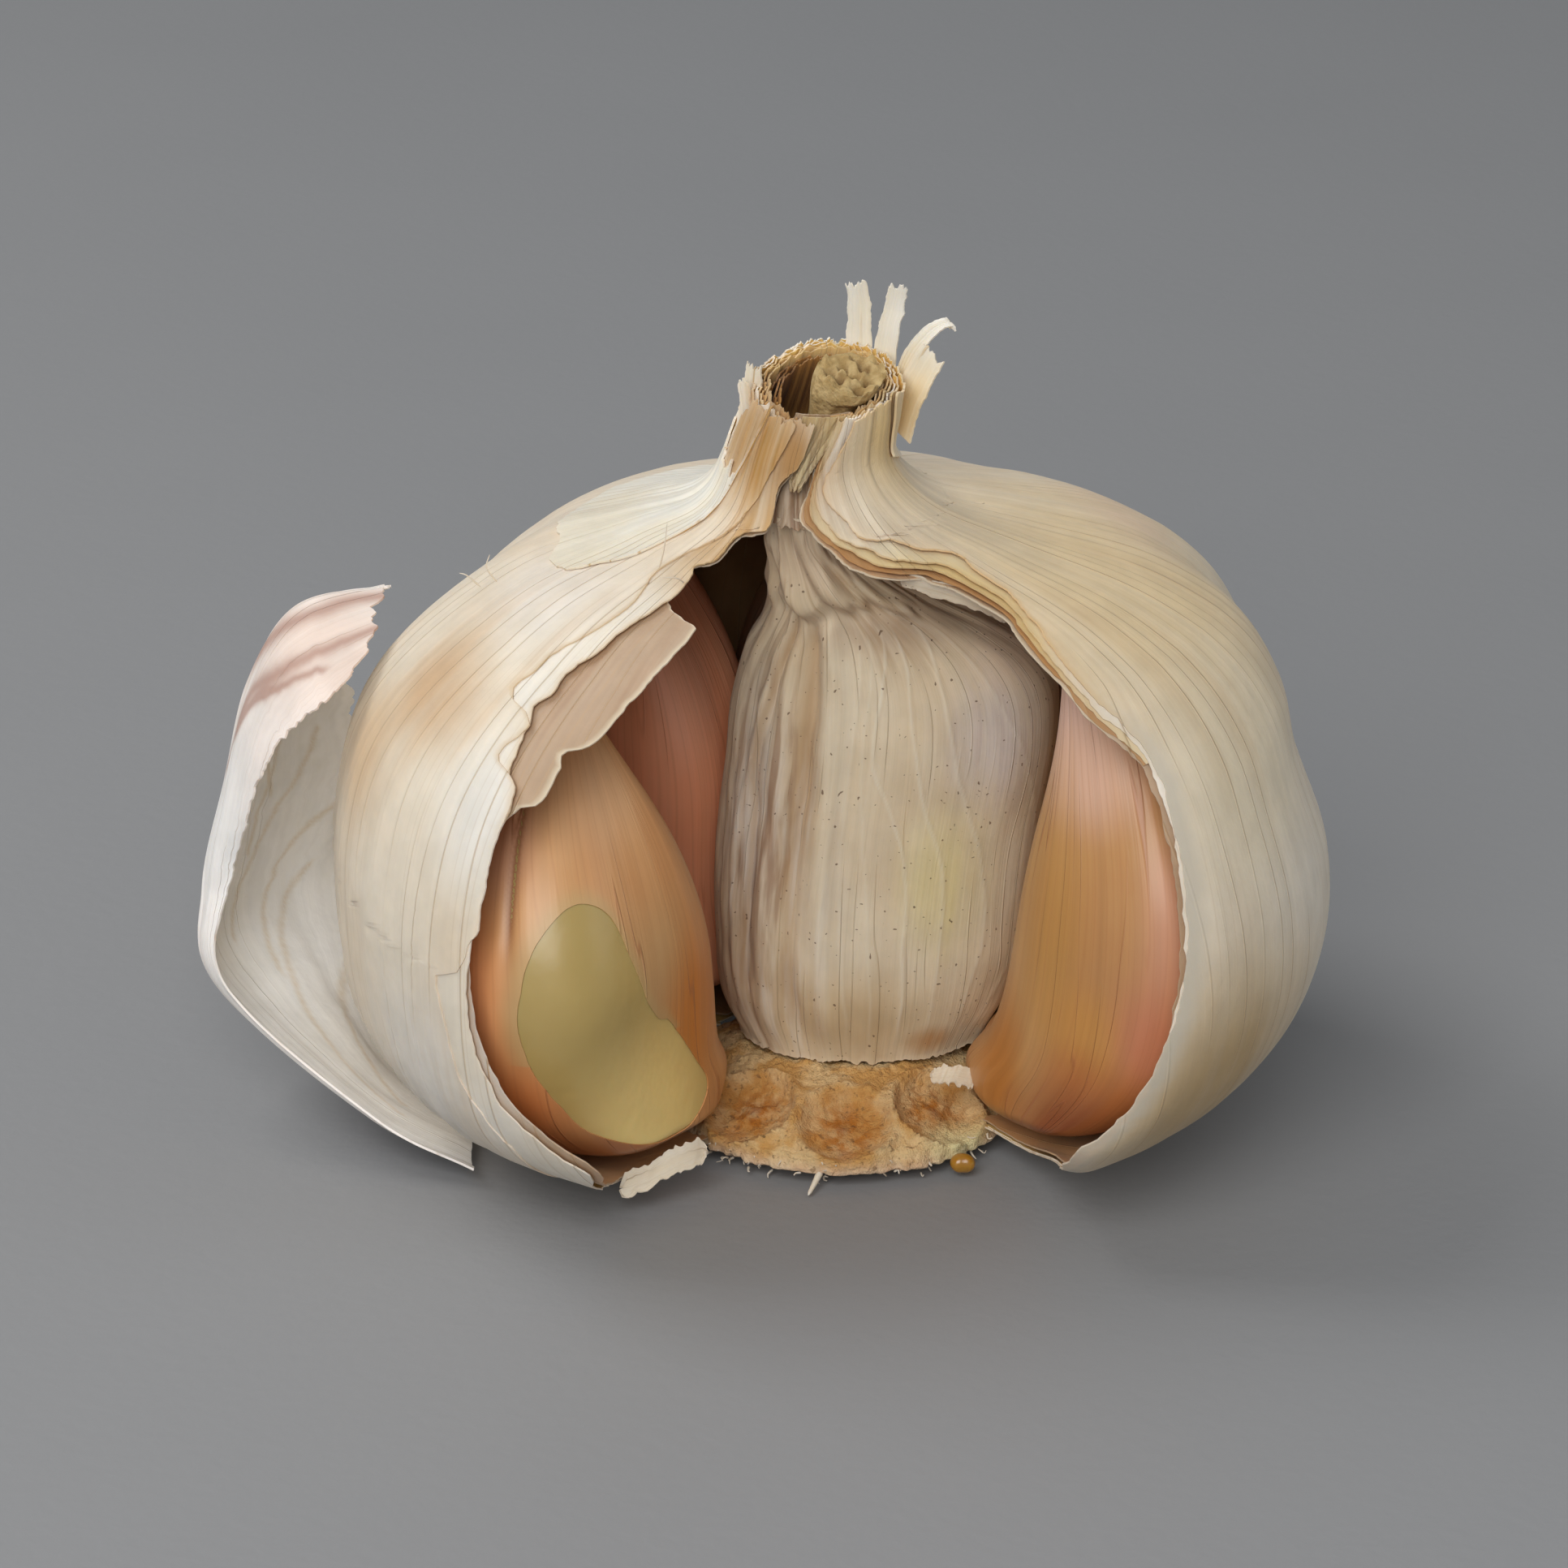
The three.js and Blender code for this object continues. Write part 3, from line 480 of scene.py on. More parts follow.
under_left = line_through(
    (0, -136), (0.1, -131), (0.17, -125), (0.21, -122), (0.24, -126), (0.268, -131), (0.31, -134.4),
    (0.34, -135.6), (0.38, -136),
    (0.46, -135.4), (0.484, -133.6), (0.494, -130.8), (0.506, -130.2), (0.519, -130), (0.529, -130.8),
    (0.534, -128.6), (0.554, -126), (0.572, -125.2), (0.586, -124), (0.606, -122.8), (0.634, -121.2),
    (0.647, -121.8), (0.654, -128), (0.668, -134), (0.7, -136), (0.716, -130), (0.76, -128), (0.776, -117),
    (0.842, -112), (0.87, -101), (1, -94),
)
under_right = line_through(
    (0, -40), (0.1, -50), (0.18, -56), (0.25, -53.8), (0.286, -52.2), (0.318, -51), (0.364, -49.2),
    (0.432, -47.7), (0.516, -46.8),
    (0.546, -48.6), (0.566, -50.8), (0.598, -52.6), (0.614, -53.2), (0.634, -52.8), (0.658, -50.4), (0.684, -52),
    (0.698, -53.6), (0.708, -56.8), (0.718, -60), (0.726, -71.2), (0.742, -82), (0.764, -87.2), (0.774, -91.6),
    (0.802, -99), (0.87, -86), (1, -76),
)


def skin_relief(angle, v):
    """Lumps, ribs, the pleats of the neck and the inward roll of the right torn edge, in millimetres, which every
    wrapper shares."""
    lumps = 0.16 * patchy(angle / 19, v * 8, 11)
    ribs = (0.04 * patchy(angle / 4.2, v * 4, 12) + 0.015 * patchy(angle / 1.7, v * 5, 13)) * (0.5 + smooth(0.6, 0.8, v))
    pleats = 0.2 * patchy(angle / 8, v * 4, 14) * smooth(0.7, 0.8, v) * (1 - 0.5 * smooth(0.92, 1, v))
    fibres = 0.05 * patchy(angle / 3.2, v * 9, 15) * smooth(0.76, 0.88, v)
    creases = 0.0
    for crease in (-149, -155, -159, -165, -172, 177):
        shape = bell(turned(angle - crease - 12 * v), 0.9) - 0.8 * bell(turned(angle - crease - 1.8 - 12 * v), 1.3)
        creases = creases + 0.13 * shape * (1 - smooth(0.3, 0.5, v))
    beyond = np.clip((angle - outer_right(v)) / 5.5, -0.3, 1)
    roll = -0.65 * (1 - beyond) ** 2 * smooth(0.03, 0.12, v) * (1 - smooth(0.55, 0.64, v))
    return lumps + ribs + pleats + fibres + creases + roll


def layer_offset(layer, v, angle=0.0):
    """How far a wrapper stands off the bulb's surface: close together low down and on the left, looser at the
    right shoulder and in the neck."""
    shoulder = smooth(0.52, 0.7, v) * (1 - smooth(0.84, 0.9, v)) * smooth(-0.3, 0.5, np.cos(np.radians(angle)))
    return 0.2 - layer * (0.1 + 0.2 * shoulder + 0.13 * smooth(0.8, 0.9, v)) - 0.3 * smooth(0.88, 1, v)


def neck_cut(angle, seed):
    """Where the knife cut the neck, lower in front, with the fibres' ends standing up."""
    return 1 - 0.062 * (1 - np.sin(np.radians(angle))) / 2 - 0.01 * (1 + torn(angle / 3.5, seed))


def wrapper(name, columns, rows, layer, left_margin, right_margin, seed, start=0.0, thickness=0.1):
    """One leaf skin, from its right torn edge round the back to its left one. Its rows are closest together
    where the shoulder's tears run across them. Its marks are the white rolled edge and the thin torn edges."""

    def surface(u, v):
        v = v - 0.09 * np.sin(2 * pi * (v - 0.7)) - 0.09 * np.sin(2 * pi * 0.7)
        u = np.clip(u - 0.07 * np.sin(2 * pi * u), 0, 1)
        angle = right_margin(1.0) + (left_margin(1.0) + 360 - right_margin(1.0)) * u
        foot = start + 0.012 * (1 + torn(u * 30, seed + 5)) * (start == 0)
        s = foot + (neck_cut(angle, seed + 3) - foot) * v
        ragged = s + 0.0035 * torn(s * 120, seed)
        right = right_margin(ragged) + 0.35 * torn(s * 90, seed + 9)
        left = left_margin(ragged) + 360 + 0.35 * torn(s * 90, seed + 8)
        angle = right + (left - right) * u
        lift = layer_offset(layer, s, angle) + skin_relief(angle, s) + 0.03 * patchy(angle / 5, s * 9, seed)
        white = (1 - smooth(0.5, 3.6, angle - right)) * smooth(0.05, 0.15, s) * (1 - smooth(0.5, 0.6, s))
        edge = bell(angle - right, 0.6) * smooth(0.5, 0.6, s) + bell(left - angle, 0.7) * smooth(0.42, 0.5, s)
        return wrapper_point(angle, s, lift), round_grain(angle, s), white, edge

    return sheet(name, columns, rows, surface, thickness)


def shared(left_share, first, second):
    """A margin between two others."""
    return lambda s: first(s) * (1 - left_share) + second(s) * left_share


hidden_left = lambda s: outer_left(s) - 9 * (1 - smooth(0.84, 0.92, s)) + 7 * smooth(0.92, 1, s)
outer = wrapper("outer_wrapper", 150, 300, 0, outer_left, outer_right, 20, thickness=0.12)
dress(outer, "outer_paper", [wrapper_finish, yellow_finish], "outer_skin")
second = wrapper("second_wrapper", 140, 280, 1, second_left, shared(0.45, outer_right, under_right), 30)
dress(second, "outer_paper", [second_finish, yellow_finish])
third = wrapper("third_wrapper", 130, 150, 2, hidden_left, shared(0.7, outer_right, under_right), 40, start=0.52)
dress(third, "inner_paper", [neck_finish, yellow_finish])
fourth = wrapper("fourth_wrapper", 130, 150, 3, hidden_left, shared(0.88, outer_right, under_right), 50, start=0.52)
dress(fourth, "inner_paper", [brown_finish, brown_finish])
under = wrapper("under_wrapper", 140, 280, 4, under_left, under_right, 60, thickness=0.1)
dress(under, "inner_paper", [tan_finish, brown_finish], "under_skin")

# What is left of the outermost leaf: a cream collar round the neck that reaches down the left shoulder, with
# strips that have frayed off behind.
collar_edge = line_through(
    (0, 0.86), (0.14, 0.83), (0.4, 0.8), (0.56, 0.74), (0.65, 0.66), (0.72, 0.64), (0.8, 0.642), (0.845, 0.634),
    (0.868, 0.638), (0.9, 0.672), (0.912, 0.7), (0.918, 0.75), (0.925, 0.8), (0.95, 0.86), (1, 0.95),
)
COLLAR_ANGLES = (-18, 228)
collar_finish = paper(
    "collar_paper", (0.90, 0.84, 0.73), (0.86, 0.75, 0.58), lines=0.75, line_colour=(0.56, 0.36, 0.16), count=130,
    stains_and_painted_light=[(GOLD, (-4.6, -5.5, 45.5), (3.8, 5, 6), 0.95), ((0.70, 0.48, 0.22), (3, -2, 46), (5, 6, 5), 0.8)],
)


def collar_surface(u, v):
    start = collar_edge(u) + 0.006 * torn(u * 40, 71)
    angle = COLLAR_ANGLES[0] + (COLLAR_ANGLES[1] - COLLAR_ANGLES[0]) * u
    end = neck_cut(angle, 72) - 0.08 * smooth(120, 180, angle) - 0.02 * (1 + torn(u * 60, 75)) * smooth(100, 150, angle)
    s = start + np.maximum(end - start, 0.002) * v
    lift = layer_offset(0, s) + 0.1 + 0.25 * smooth(0.8, 0.95, s) + skin_relief(angle, s)
    flare = 0.1 * bell(v, 0.06) * (0.5 + 0.5 * torn(u * 12, 74))
    return wrapper_point(angle, s, lift + flare), round_grain(angle, s)


collar = sheet("shoulder_collar", 260, 90, collar_surface, 0.14)
dress(collar, "outer_paper", [collar_finish, yellow_finish], "collar")

STRIPS = [
    ("strip_back", [(0.7, 1.4, 46.5), (0.8, 1.8, 49.5), (0.8, 1.9, 51.2), (0.55, 1.7, 52.9)], 1.6, (1, 0.1, 0)),
    ("strip_middle", [(2.1, 1.2, 46.5), (2.5, 1.5, 49.5), (2.9, 1.6, 51.2), (3.15, 1.3, 52.8)], 1.45, (1, -0.15, 0)),
    ("strip_hook", [(2.7, -0.2, 45.5), (3.6, 0, 48.2), (4.9, 0.1, 50.0), (6.1, 0.1, 50.6), (6.2, 0, 49.9)], 0.9, (0.6, -0.5, -0.5)),
    ("strip_right", [(3.0, -0.9, 44.2), (3.7, -1.0, 46.4), (4.6, -0.9, 48.1), (5.3, -0.8, 49.2)], 2.2, (0.7, -0.5, -0.5)),
    ("strip_left", [(-5.6, -3.0, 42.5), (-5.7, -3.1, 45.0), (-5.9, -3.0, 46.9), (-6.1, -2.9, 48.4)], 1.0, (0.7, -0.7, 0)),
    ("strip_left_back", [(-5.9, -2.0, 43.0), (-5.8, -2.1, 45.6), (-5.5, -2.1, 47.2), (-5.3, -2.2, 49.2)], 1.3, (0.8, -0.5, 0)),
]
for number, (name, path, width, across) in enumerate(STRIPS):
    centre, side = curve_through(path), np.array(across) / np.linalg.norm(across)

    def strip_surface(u, v):
        v = v * (1 - 0.1 * (1 + torn(u * 5, 80 + number)))
        wide = width * (1 - 0.25 * v) * (u - 0.5) + 0.12 * torn(v * 9 + (u > 0.5) * 5, 90 + number) * np.abs(2 * u - 1)
        cup = 0.25 * width * (0.25 - (u - 0.5) ** 2) + 0.06 * torn(u * 6, 95 + number)
        points = centre(v) + wide[:, None] * side + cup[:, None] * np.array((0, 1, 0))
        return points, (u * 0.35 + number, v * 0, v * 0.2)

    piece = sheet(name, 16, 44, strip_surface, 0.14)
    dress(piece, "outer_paper", [collar_finish, collar_finish])

# The neck's inner leaves, rolled round the dry flower stalk and cut across with it, and the stalk itself, which
# is pith with holes in it, up from the root plate behind the middle clove.
ROLL_TURNS = 2.1


def roll_surface(u, v):
    angle = 140 + 360 * ROLL_TURNS * u
    s = 0.835 + (neck_cut(angle, 101) - 0.012 - 0.835) * v
    lift = layer_offset(5, s) - 0.1 - 0.24 * ROLL_TURNS * (1 - u) + 0.06 * torn(u * 30, 102)
    return wrapper_point(angle, s, lift), round_grain(angle, s)


neck_layers = sheet("neck_layers", 300, 36, roll_surface, 0.1)
hollow_finish = paper(
    "neck_hollow_paper", (0.64, 0.33, 0.095), (0.52, 0.24, 0.06), lines=0.4,
    # Painted shade: a near-black patch in the middle of the roll, the shade in the neck's hollow.
    stains_and_painted_light=[((0.05, 0.012, 0.002), (-2.6, 0, 46), (5, 5.2, 5.4), 1.0)],
)
dress(neck_layers, "inner_paper", [hollow_finish, hollow_finish], "neck_roll")

grey_finish = paper(
    "folded_grey_paper", (0.54, 0.42, 0.31), (0.38, 0.25, 0.15), lines=0.5,
    streaks=[((0.22, 0.11, 0.05), (-2, -6, 42), (8, 8, 8), 0.8)],
)
flap_finish = paper(
    "folded_flap_paper", (0.66, 0.52, 0.31), (0.54, 0.38, 0.19), lines=0.5,
    streaks=[((0.28, 0.15, 0.07), (-2, -6, 42), (8, 8, 8), 0.6)],
)
FOLDS = [
    ("fold_behind", (-130, -70), (-118, -56), 0.795, 5.2, 0.35, grey_finish),
    ("fold_right", (-98, -80), (-80, -56), 0.80, 4.2, 0.3, brown_finish),
    ("fold_flap", (-106, -99), (-108, -62), 0.84, 3.0, 0.25, flap_finish),
]
for number, (name, below, above, low, layer, depth, finish) in enumerate(FOLDS):

    def fold_surface(u, v):
        first = below[0] + (above[0] - below[0]) * v
        last = below[1] + (above[1] - below[1]) * v
        angle = first + (last - first) * u + 1.5 * torn(v * 6, 178 + number)
        foot = low + 0.008 * torn(u * 14, 170 + number)
        s = foot + (0.935 - foot) * v
        pleat = depth * patchy(u * 5, v * 1.5 + number, 173 + number) + 0.12 * patchy(u * 16, v * 3, 176)
        lift = layer_offset(layer, s, angle) + pleat * (1 - 0.6 * v) - (0.9 * (1 - v) if number < 2 else 0)
        return wrapper_point(angle, s, lift), round_grain(angle, s)

    fold = sheet(name, 60, 50, fold_surface, 0.1)
    dress(fold, "inner_paper", [finish, finish])


def body(name, segments, rings, surface):
    """A closed body: a ball whose heights from 0 to 1 and angles round it go to surface(t, around)."""
    bpy.ops.object.select_all(action="DESELECT")
    bpy.ops.mesh.primitive_uv_sphere_add(segments=segments, ring_count=rings, radius=1)
    piece = bpy.context.object
    piece.name = name
    places = np.empty(len(piece.data.vertices) * 3)
    piece.data.vertices.foreach_get("co", places)
    x, y, z = places.reshape(-1, 3).T
    lay_out(piece, *surface(1 - np.arccos(np.clip(z, -1, 1)) / pi, np.arctan2(y, x)))
    bpy.ops.object.shade_smooth_by_angle(angle=radians(60))
    return piece


stalk_path = curve_through([
    (0.3, 8.2, 4.9), (0.3, 9.9, 12), (0.3, 9.9, 22), (0.1, 8.6, 30), (-0.9, 4.6, 35.4), (-1.7, 0.2, 40.0),
    (-1.5, -1.2, 43.4), (-0.6, -1.9, 46), (0.35, -2.6, 48.4),
])


def stalk_surface(t, around):
    rise = np.clip((t - 0.06) / 0.82, 0, 1)
    close = np.minimum(smooth(-0.02, 0.06, t), 1 - np.clip((t - 0.88) / 0.12, 0, 1))
    radius = (1.35 + 0.6 * smooth(0.82, 0.97, rise)) * close
    ridge = 1 + 0.07 * patchy(around * 4 / pi * 3, rise * 6, 111) * (close > 0.98)
    x, y = radius * ridge * np.cos(around), radius * ridge * np.sin(around)
    pits = 0.0
    for px, py, size in (
        (0.7, 0.55, 0.3), (-0.5, 0.5, 0.24), (0.1, -0.2, 0.26), (-0.7, -0.6, 0.3), (0.95, -0.5, 0.22), (0.3, 1.2, 0.3),
        (0.3, -1.2, 0.25), (-1.2, 0.1, 0.25),
    ):
        pits = pits + bell(np.hypot(x - px, y - py), size)
    end = (t > 0.88) * (0.35 * patchy(x * 1.6, y * 1.6, 112) + 0.18 * patchy(x * 4, y * 4, 113) - 1.1 * pits)
    points = stalk_path(rise) + np.stack([x, y, end + (0.35 * y - 0.1 * x) * smooth(0.9, 0.97, rise)], -1)
    return points, (x * 0.3, y * 0.3, rise), (t > 0.88) * pits


stalk_finish = new_material("dry_pith", 0.85, subsurface=0.1)
pith_tone = between(stalk_finish, noise(stalk_finish, 1400, 4), 0.3, 0.7)
pith_colour = paint(stalk_finish, (0.54, 0.40, 0.19), (0.36, 0.24, 0.09), pith_tone)
# Painted shade: the pits are painted near-black, the shade in the pith's holes.
pith_colour = paint(stalk_finish, pith_colour, (0.13, 0.05, 0.01), times(stalk_finish, marks(stalk_finish, 1), 1.0))
finish_material(stalk_finish, pith_colour, noise(stalk_finish, 2600, 4), 0.0002)
stalk = body("stalk_pith", 64, 160, stalk_surface)
dress(stalk, "pith", [stalk_finish], "flower_stalk")

# Cloves, each in its own tight glossy skin. Six stand in the ring: rounded wedges whose backs follow the
# wrappers and whose inner edges point at the stalk. The left one's skin has split, and its flesh is bare there.
CLOVE_BACK = 0.95
room = profile(np.linspace(0, 0.8, 240))
room_along = np.gradient(room, axis=0)
room_along /= np.linalg.norm(room_along, axis=-1, keepdims=True)
room_heights = room[:, 1] - room_along[:, 0] * -CLOVE_BACK
room_radii = room[:, 0] + room_along[:, 1] * -CLOVE_BACK
room_order = np.argsort(room_heights)


def room_radius(angle, height):
    """How far the room inside the wrappers reaches."""
    height = height + sag(angle, height)
    return np.interp(height, room_heights[room_order], room_radii[room_order]) * body_shape(angle, height)


def rounded(value, power):
    return np.sign(value) * np.abs(value) ** power


def ring_clove(angle, half, foot, tip, inner, core, point=0.6, lean=0, foot_turn=0, inset=0.0):
    """The surface of one clove in the ring, by t from foot to tip and the angle round it."""
    inner, core = line_through(*inner), line_through(*core)
    foot, tip = foot + inset * 1.4, tip - inset * 1.6

    def surface(t, around):
        rise = (1 - np.cos(pi * t)) / 2
        height = foot + (tip - foot) * rise
        foot_close = np.sqrt(np.maximum(0, 1 - (1 - np.minimum(1, rise / 0.08)) ** 2))
        tip_close = np.maximum(0, 1 - np.maximum(0, (rise - 0.4) / 0.6) ** 2.2) ** point
        close = foot_close * tip_close
        even = around - 0.18 * np.sin(4 * around)
        w, q = rounded(np.cos(even), 0.58), rounded(np.sin(even), 0.58)
        turn = angle + lean * rise * rise + half * close * q
        turn = turn - foot_turn * np.maximum(q, 0) * (1 - smooth(3, 17, height))
        heart = core(height)
        outer = room_radius(turn, height) - inset
        radius = heart + np.where(w > 0, (outer - heart) * w, (heart - inner(height) - inset) * w) * close
        turn = turn - np.degrees(inset / np.maximum(radius, 6)) * close * q
        x, y = radius * np.cos(np.radians(turn)), radius * np.sin(np.radians(turn))
        return np.stack([x, y, height], -1), round_grain(np.degrees(around), t)

    return surface


PLATE_SIDE = [(2, 11.6), (4.2, 9.6), (6, 8.8)]
FOOT = 4.15
CLOVES = {
    "left": dict(
        angle=-162, half=38.5, foot=2.0, tip=30.6, point=0.62, foot_turn=4,
        inner=[*PLATE_SIDE, (8, 9.6), (12, 10.2), (18, 11.4), (24, 13), (30.6, 16)],
        core=[(FOOT, 16), (10, 18.5), (20, 19), (30.6, 17.4)],
    ),
    "left_back": dict(
        angle=134.5, half=23.4, lean=10, foot=FOOT, tip=35,
        inner=[*PLATE_SIDE, (12, 9.4), (20, 9.2), (26, 9.8), (30, 11.6), (35, 14.2)],
        core=[(FOOT, 16), (12, 19), (22, 19), (30, 16.5), (35, 15.2)],
    ),
    "back": dict(
        angle=84.5, half=22.8, foot=FOOT, tip=35.9,
        inner=[(2, 12.6), (4.2, 12.4), (12, 13.4), (22, 13.4), (30, 11.5), (35.9, 9)],
        core=[(FOOT, 16.5), (12, 20), (22, 19.5), (32, 13.5), (35.9, 10.5)],
    ),
    "right_back": dict(
        angle=35.5, half=22.8, foot=FOOT, tip=36.2,
        inner=[(2, 11.6), (4.2, 10.4), (12, 13.2), (22, 13.9), (28, 13.9), (32, 12.6), (36.2, 9.5)],
        core=[(FOOT, 16), (12, 20), (22, 20), (32, 14.5), (36.2, 11)],
    ),
    "right": dict(
        angle=-18.5, half=30.3, foot=2.2, tip=35,
        inner=[*PLATE_SIDE, (8, 10.4), (12, 11.8), (22, 13.4), (28, 14), (35, 13)],
        core=[(FOOT, 16), (10, 19.5), (20, 20.5), (28, 18), (35, 14)],
    ),
}


def clove_skin(name, light, warm, stains_and_painted_light, line_colour=(0.36, 0.12, 0.05), lines=0.45, marked=()):
    """A clove's smooth skin: warm streaks, fine veins from foot to tip, and a soft shine."""
    material = new_material(name, 0.4, subsurface=0.1, coat=0.15)
    clouds = plus(material, times(material, noise(material, 120, 3), 0.5), times(material, fibre(material, 2.6, 0.8, 3), 0.5))
    colour = paint(material, light, warm, between(material, clouds, 0.38, 0.62))
    for stain_and_painted_light, centre, reach, strength in stains_and_painted_light:
        broken = between(material, fibre(material, 5, 1.2, 3, centre[2]), 0.2, 0.6, 0.65, 1.0)
        amount = times(material, times(material, spot(material, centre, reach), broken), strength)
        colour = paint(material, colour, stain_and_painted_light, amount)
    fine = fibre(material, 15, 1.4, 4)
    tone = between(material, fine, 0.3, 0.7, 0.94, 1.04)
    colour = paint(material, colour, add_node(material, "CombineColor", {0: tone, 1: tone, 2: tone}), 1.0, "MULTIPLY")
    faded = between(material, fibre(material, 3, 3, 1, 4), 0.42, 0.6)
    veins = times(material, vein_lines(material, 30, 0.05, 1.4), faded)
    colour = paint(material, colour, line_colour, times(material, veins, lines))
    hair_veins = vein_lines(material, 90, 0.13, 1.2, 2)
    colour = paint(material, colour, line_colour, times(material, hair_veins, lines * 0.3))
    for number, stain_and_painted_light, strength in marked:
        colour = paint(material, colour, stain_and_painted_light, times(material, marks(material, number), strength))
    height = plus(material, times(material, fine, 0.6), times(material, veins, 0.4))
    finish_material(material, colour, height, 0.00009)
    return material


SKIN_TONES = {
    "left": ((0.68, 0.36, 0.155), (0.61, 0.29, 0.115)),
    "left_back": ((0.92, 0.42, 0.24), (0.86, 0.35, 0.18)),
    "right": ((0.54, 0.30, 0.12), (0.50, 0.25, 0.10)),
}
SKIN_STAINS_AND_PAINTED_LIGHT = {
    "left": [
        # Painted light: the first patch lightens the clove's skin near its top, where it lies in shade.
        ((0.70, 0.40, 0.205), (-16, -14.4, 26.5), (7, 7, 5), 0.9),
        ((0.52, 0.34, 0.16), (-12, -15, 16), (5, 6, 6), 0.7),
        ((0.84, 0.34, 0.14), (-22.4, -19, 16), (3.4, 6, 12), 0.95),
        ((0.62, 0.32, 0.21), (-20, -16, 24), (3, 5, 6), 0.7),
        ((0.62, 0.20, 0.03), (-8.6, -12.5, 12), (4.2, 6, 9), 1.0),
        ((0.62, 0.20, 0.06), (-20, -19.5, 8), (7, 7, 6), 0.95),
        ((0.28, 0.07, 0.015), (-15, -18, 3.4), (12, 9, 4.5), 1.0),
    ],
    "right": [
        ((0.76, 0.52, 0.43), (12.8, -9.5, 31), (6, 6, 6), 0.95),
        ((0.70, 0.46, 0.35), (14.5, -12.5, 27), (5, 6, 5), 0.8),
        ((0.62, 0.30, 0.19), (19.6, -18.5, 19), (3.6, 6, 11), 0.95),
        ((0.52, 0.27, 0.08), (12, -13.6, 18), (4.2, 5, 9), 0.85),
        ((0.58, 0.28, 0.07), (14, -16.5, 11.5), (6, 6, 5), 0.8),
        ((0.58, 0.22, 0.12), (17.8, -18.8, 12), (3.6, 5, 7), 0.9),
        ((0.46, 0.17, 0.03), (9.4, -9.6, 7), (3, 4, 8), 0.9),
        ((0.42, 0.12, 0.03), (14.6, -16, 8), (7, 6, 4), 0.7),
        ((0.24, 0.055, 0.012), (14, -15, 4.4), (9, 8, 5), 1.0),
    ],
    "left_back": [((0.92, 0.50, 0.34), (-9.6, 5, 25), (3, 7, 6), 0.6)],
}
for name, clove in CLOVES.items():
    tones = SKIN_TONES.get(name, ((0.66, 0.42, 0.27), (0.60, 0.33, 0.20)))
    if name != "left":
        finish = clove_skin(f"skin_of_{name}_clove", *tones, SKIN_STAINS_AND_PAINTED_LIGHT.get(name, []))
        piece = body(f"{name}_clove", 150, 120, ring_clove(**clove))
        dress(piece, "clove_skin", [finish], f"clove_{name}")

flesh_finish = new_material("bare_flesh", 0.36, subsurface=0.3, coat=0.2)
flesh_tone = between(flesh_finish, noise(flesh_finish, 160, 2), 0.3, 0.7)
flesh_colour = paint(flesh_finish, (0.47, 0.345, 0.125), (0.43, 0.31, 0.105), flesh_tone)
# Painted light: the lower flesh, which faces down and lies in the wrappers' shade, is painted lighter than its top.
low_flesh_painted_light = times(flesh_finish, spot(flesh_finish, (-11, -15.5, 6), (9, 9, 10)), 1.0)
flesh_colour = paint(flesh_finish, flesh_colour, (0.92, 0.69, 0.26), low_flesh_painted_light)
finish_material(flesh_finish, flesh_colour, noise(flesh_finish, 700, 2), 0.00005)
flesh = body("left_clove_flesh", 120, 100, ring_clove(**CLOVES["left"], inset=0.1))
dress(flesh, "clove_flesh", [flesh_finish], "clove_left")

# The left clove's skin is laid out round the middle of the bare patch: the patch's edge is where it starts, by
# direction and reach in degrees, and it closes behind the clove.
PATCH_HEIGHT, PATCH_TURN = 0.412, 0.177
patch_edge = line_through(
    (-214.9, 26.6), (-173.5, 19.6), (-127.2, 20.5), (-100.7, 31), (-83.3, 43), (-62, 50), (-42, 51.5), (-30, 46),
    (-20, 39), (-10, 31), (4, 24), (30, 20.0), (62.3, 24), (82, 33), (95, 36.6), (104.7, 37.0),
    (119.7, 33.9), (145.1, 26.6), (186.5, 19.6), (232.8, 20.5),
)
pole_tilt, pole_turn = pi * (1 - PATCH_HEIGHT), 2 * pi * PATCH_TURN
patch_pole = np.array([
    np.sin(pole_tilt) * np.cos(pole_turn), np.sin(pole_tilt) * np.sin(pole_turn), np.cos(pole_tilt)
])
patch_side = np.cross((0, 0, 1), patch_pole)
patch_side /= np.linalg.norm(patch_side)
patch_over = np.cross(patch_pole, patch_side)
left_surface = ring_clove(**CLOVES["left"], inset=0.06)


def split_skin_surface(u, v):
    direction = 360 * u - 180
    start = patch_edge(direction) + 0.2 * torn(np.abs(direction) / 9 + 20, 121)
    reach = np.radians(start + (179.9 - start) * v**1.25)
    direction = np.radians(direction)
    aside = np.cos(direction)[:, None] * patch_side + np.sin(direction)[:, None] * patch_over
    x, y, z = (np.cos(reach)[:, None] * patch_pole + np.sin(reach)[:, None] * aside).T
    t, around = 1 - np.arccos(np.clip(z, -1, 1)) / pi, np.arctan2(y, x)
    points, grain = left_surface(t, around)
    share = (around / (2 * pi)) % 1
    # The slit's line is painted near-black: painted shade in the split, over a shallow groove.
    slit = bell(share - 0.114 - 0.03 * (t - 0.6), 0.0034) * smooth(0.5, 0.6, t) * (1 - smooth(0.73, 0.76, t))
    thin = 1 - smooth(0, 0.09, reach - np.radians(start))
    seam = bell(share - 0.106 - 0.03 * (t - 0.6), 0.004) * smooth(0.3, 0.5, t)
    outward = points - points.mean(0)
    outward /= np.linalg.norm(outward, axis=-1, keepdims=True)
    return points + outward * (0.1 * seam - 0.1 * slit)[:, None], grain, slit**2, thin * (np.sin(direction) > -0.2)


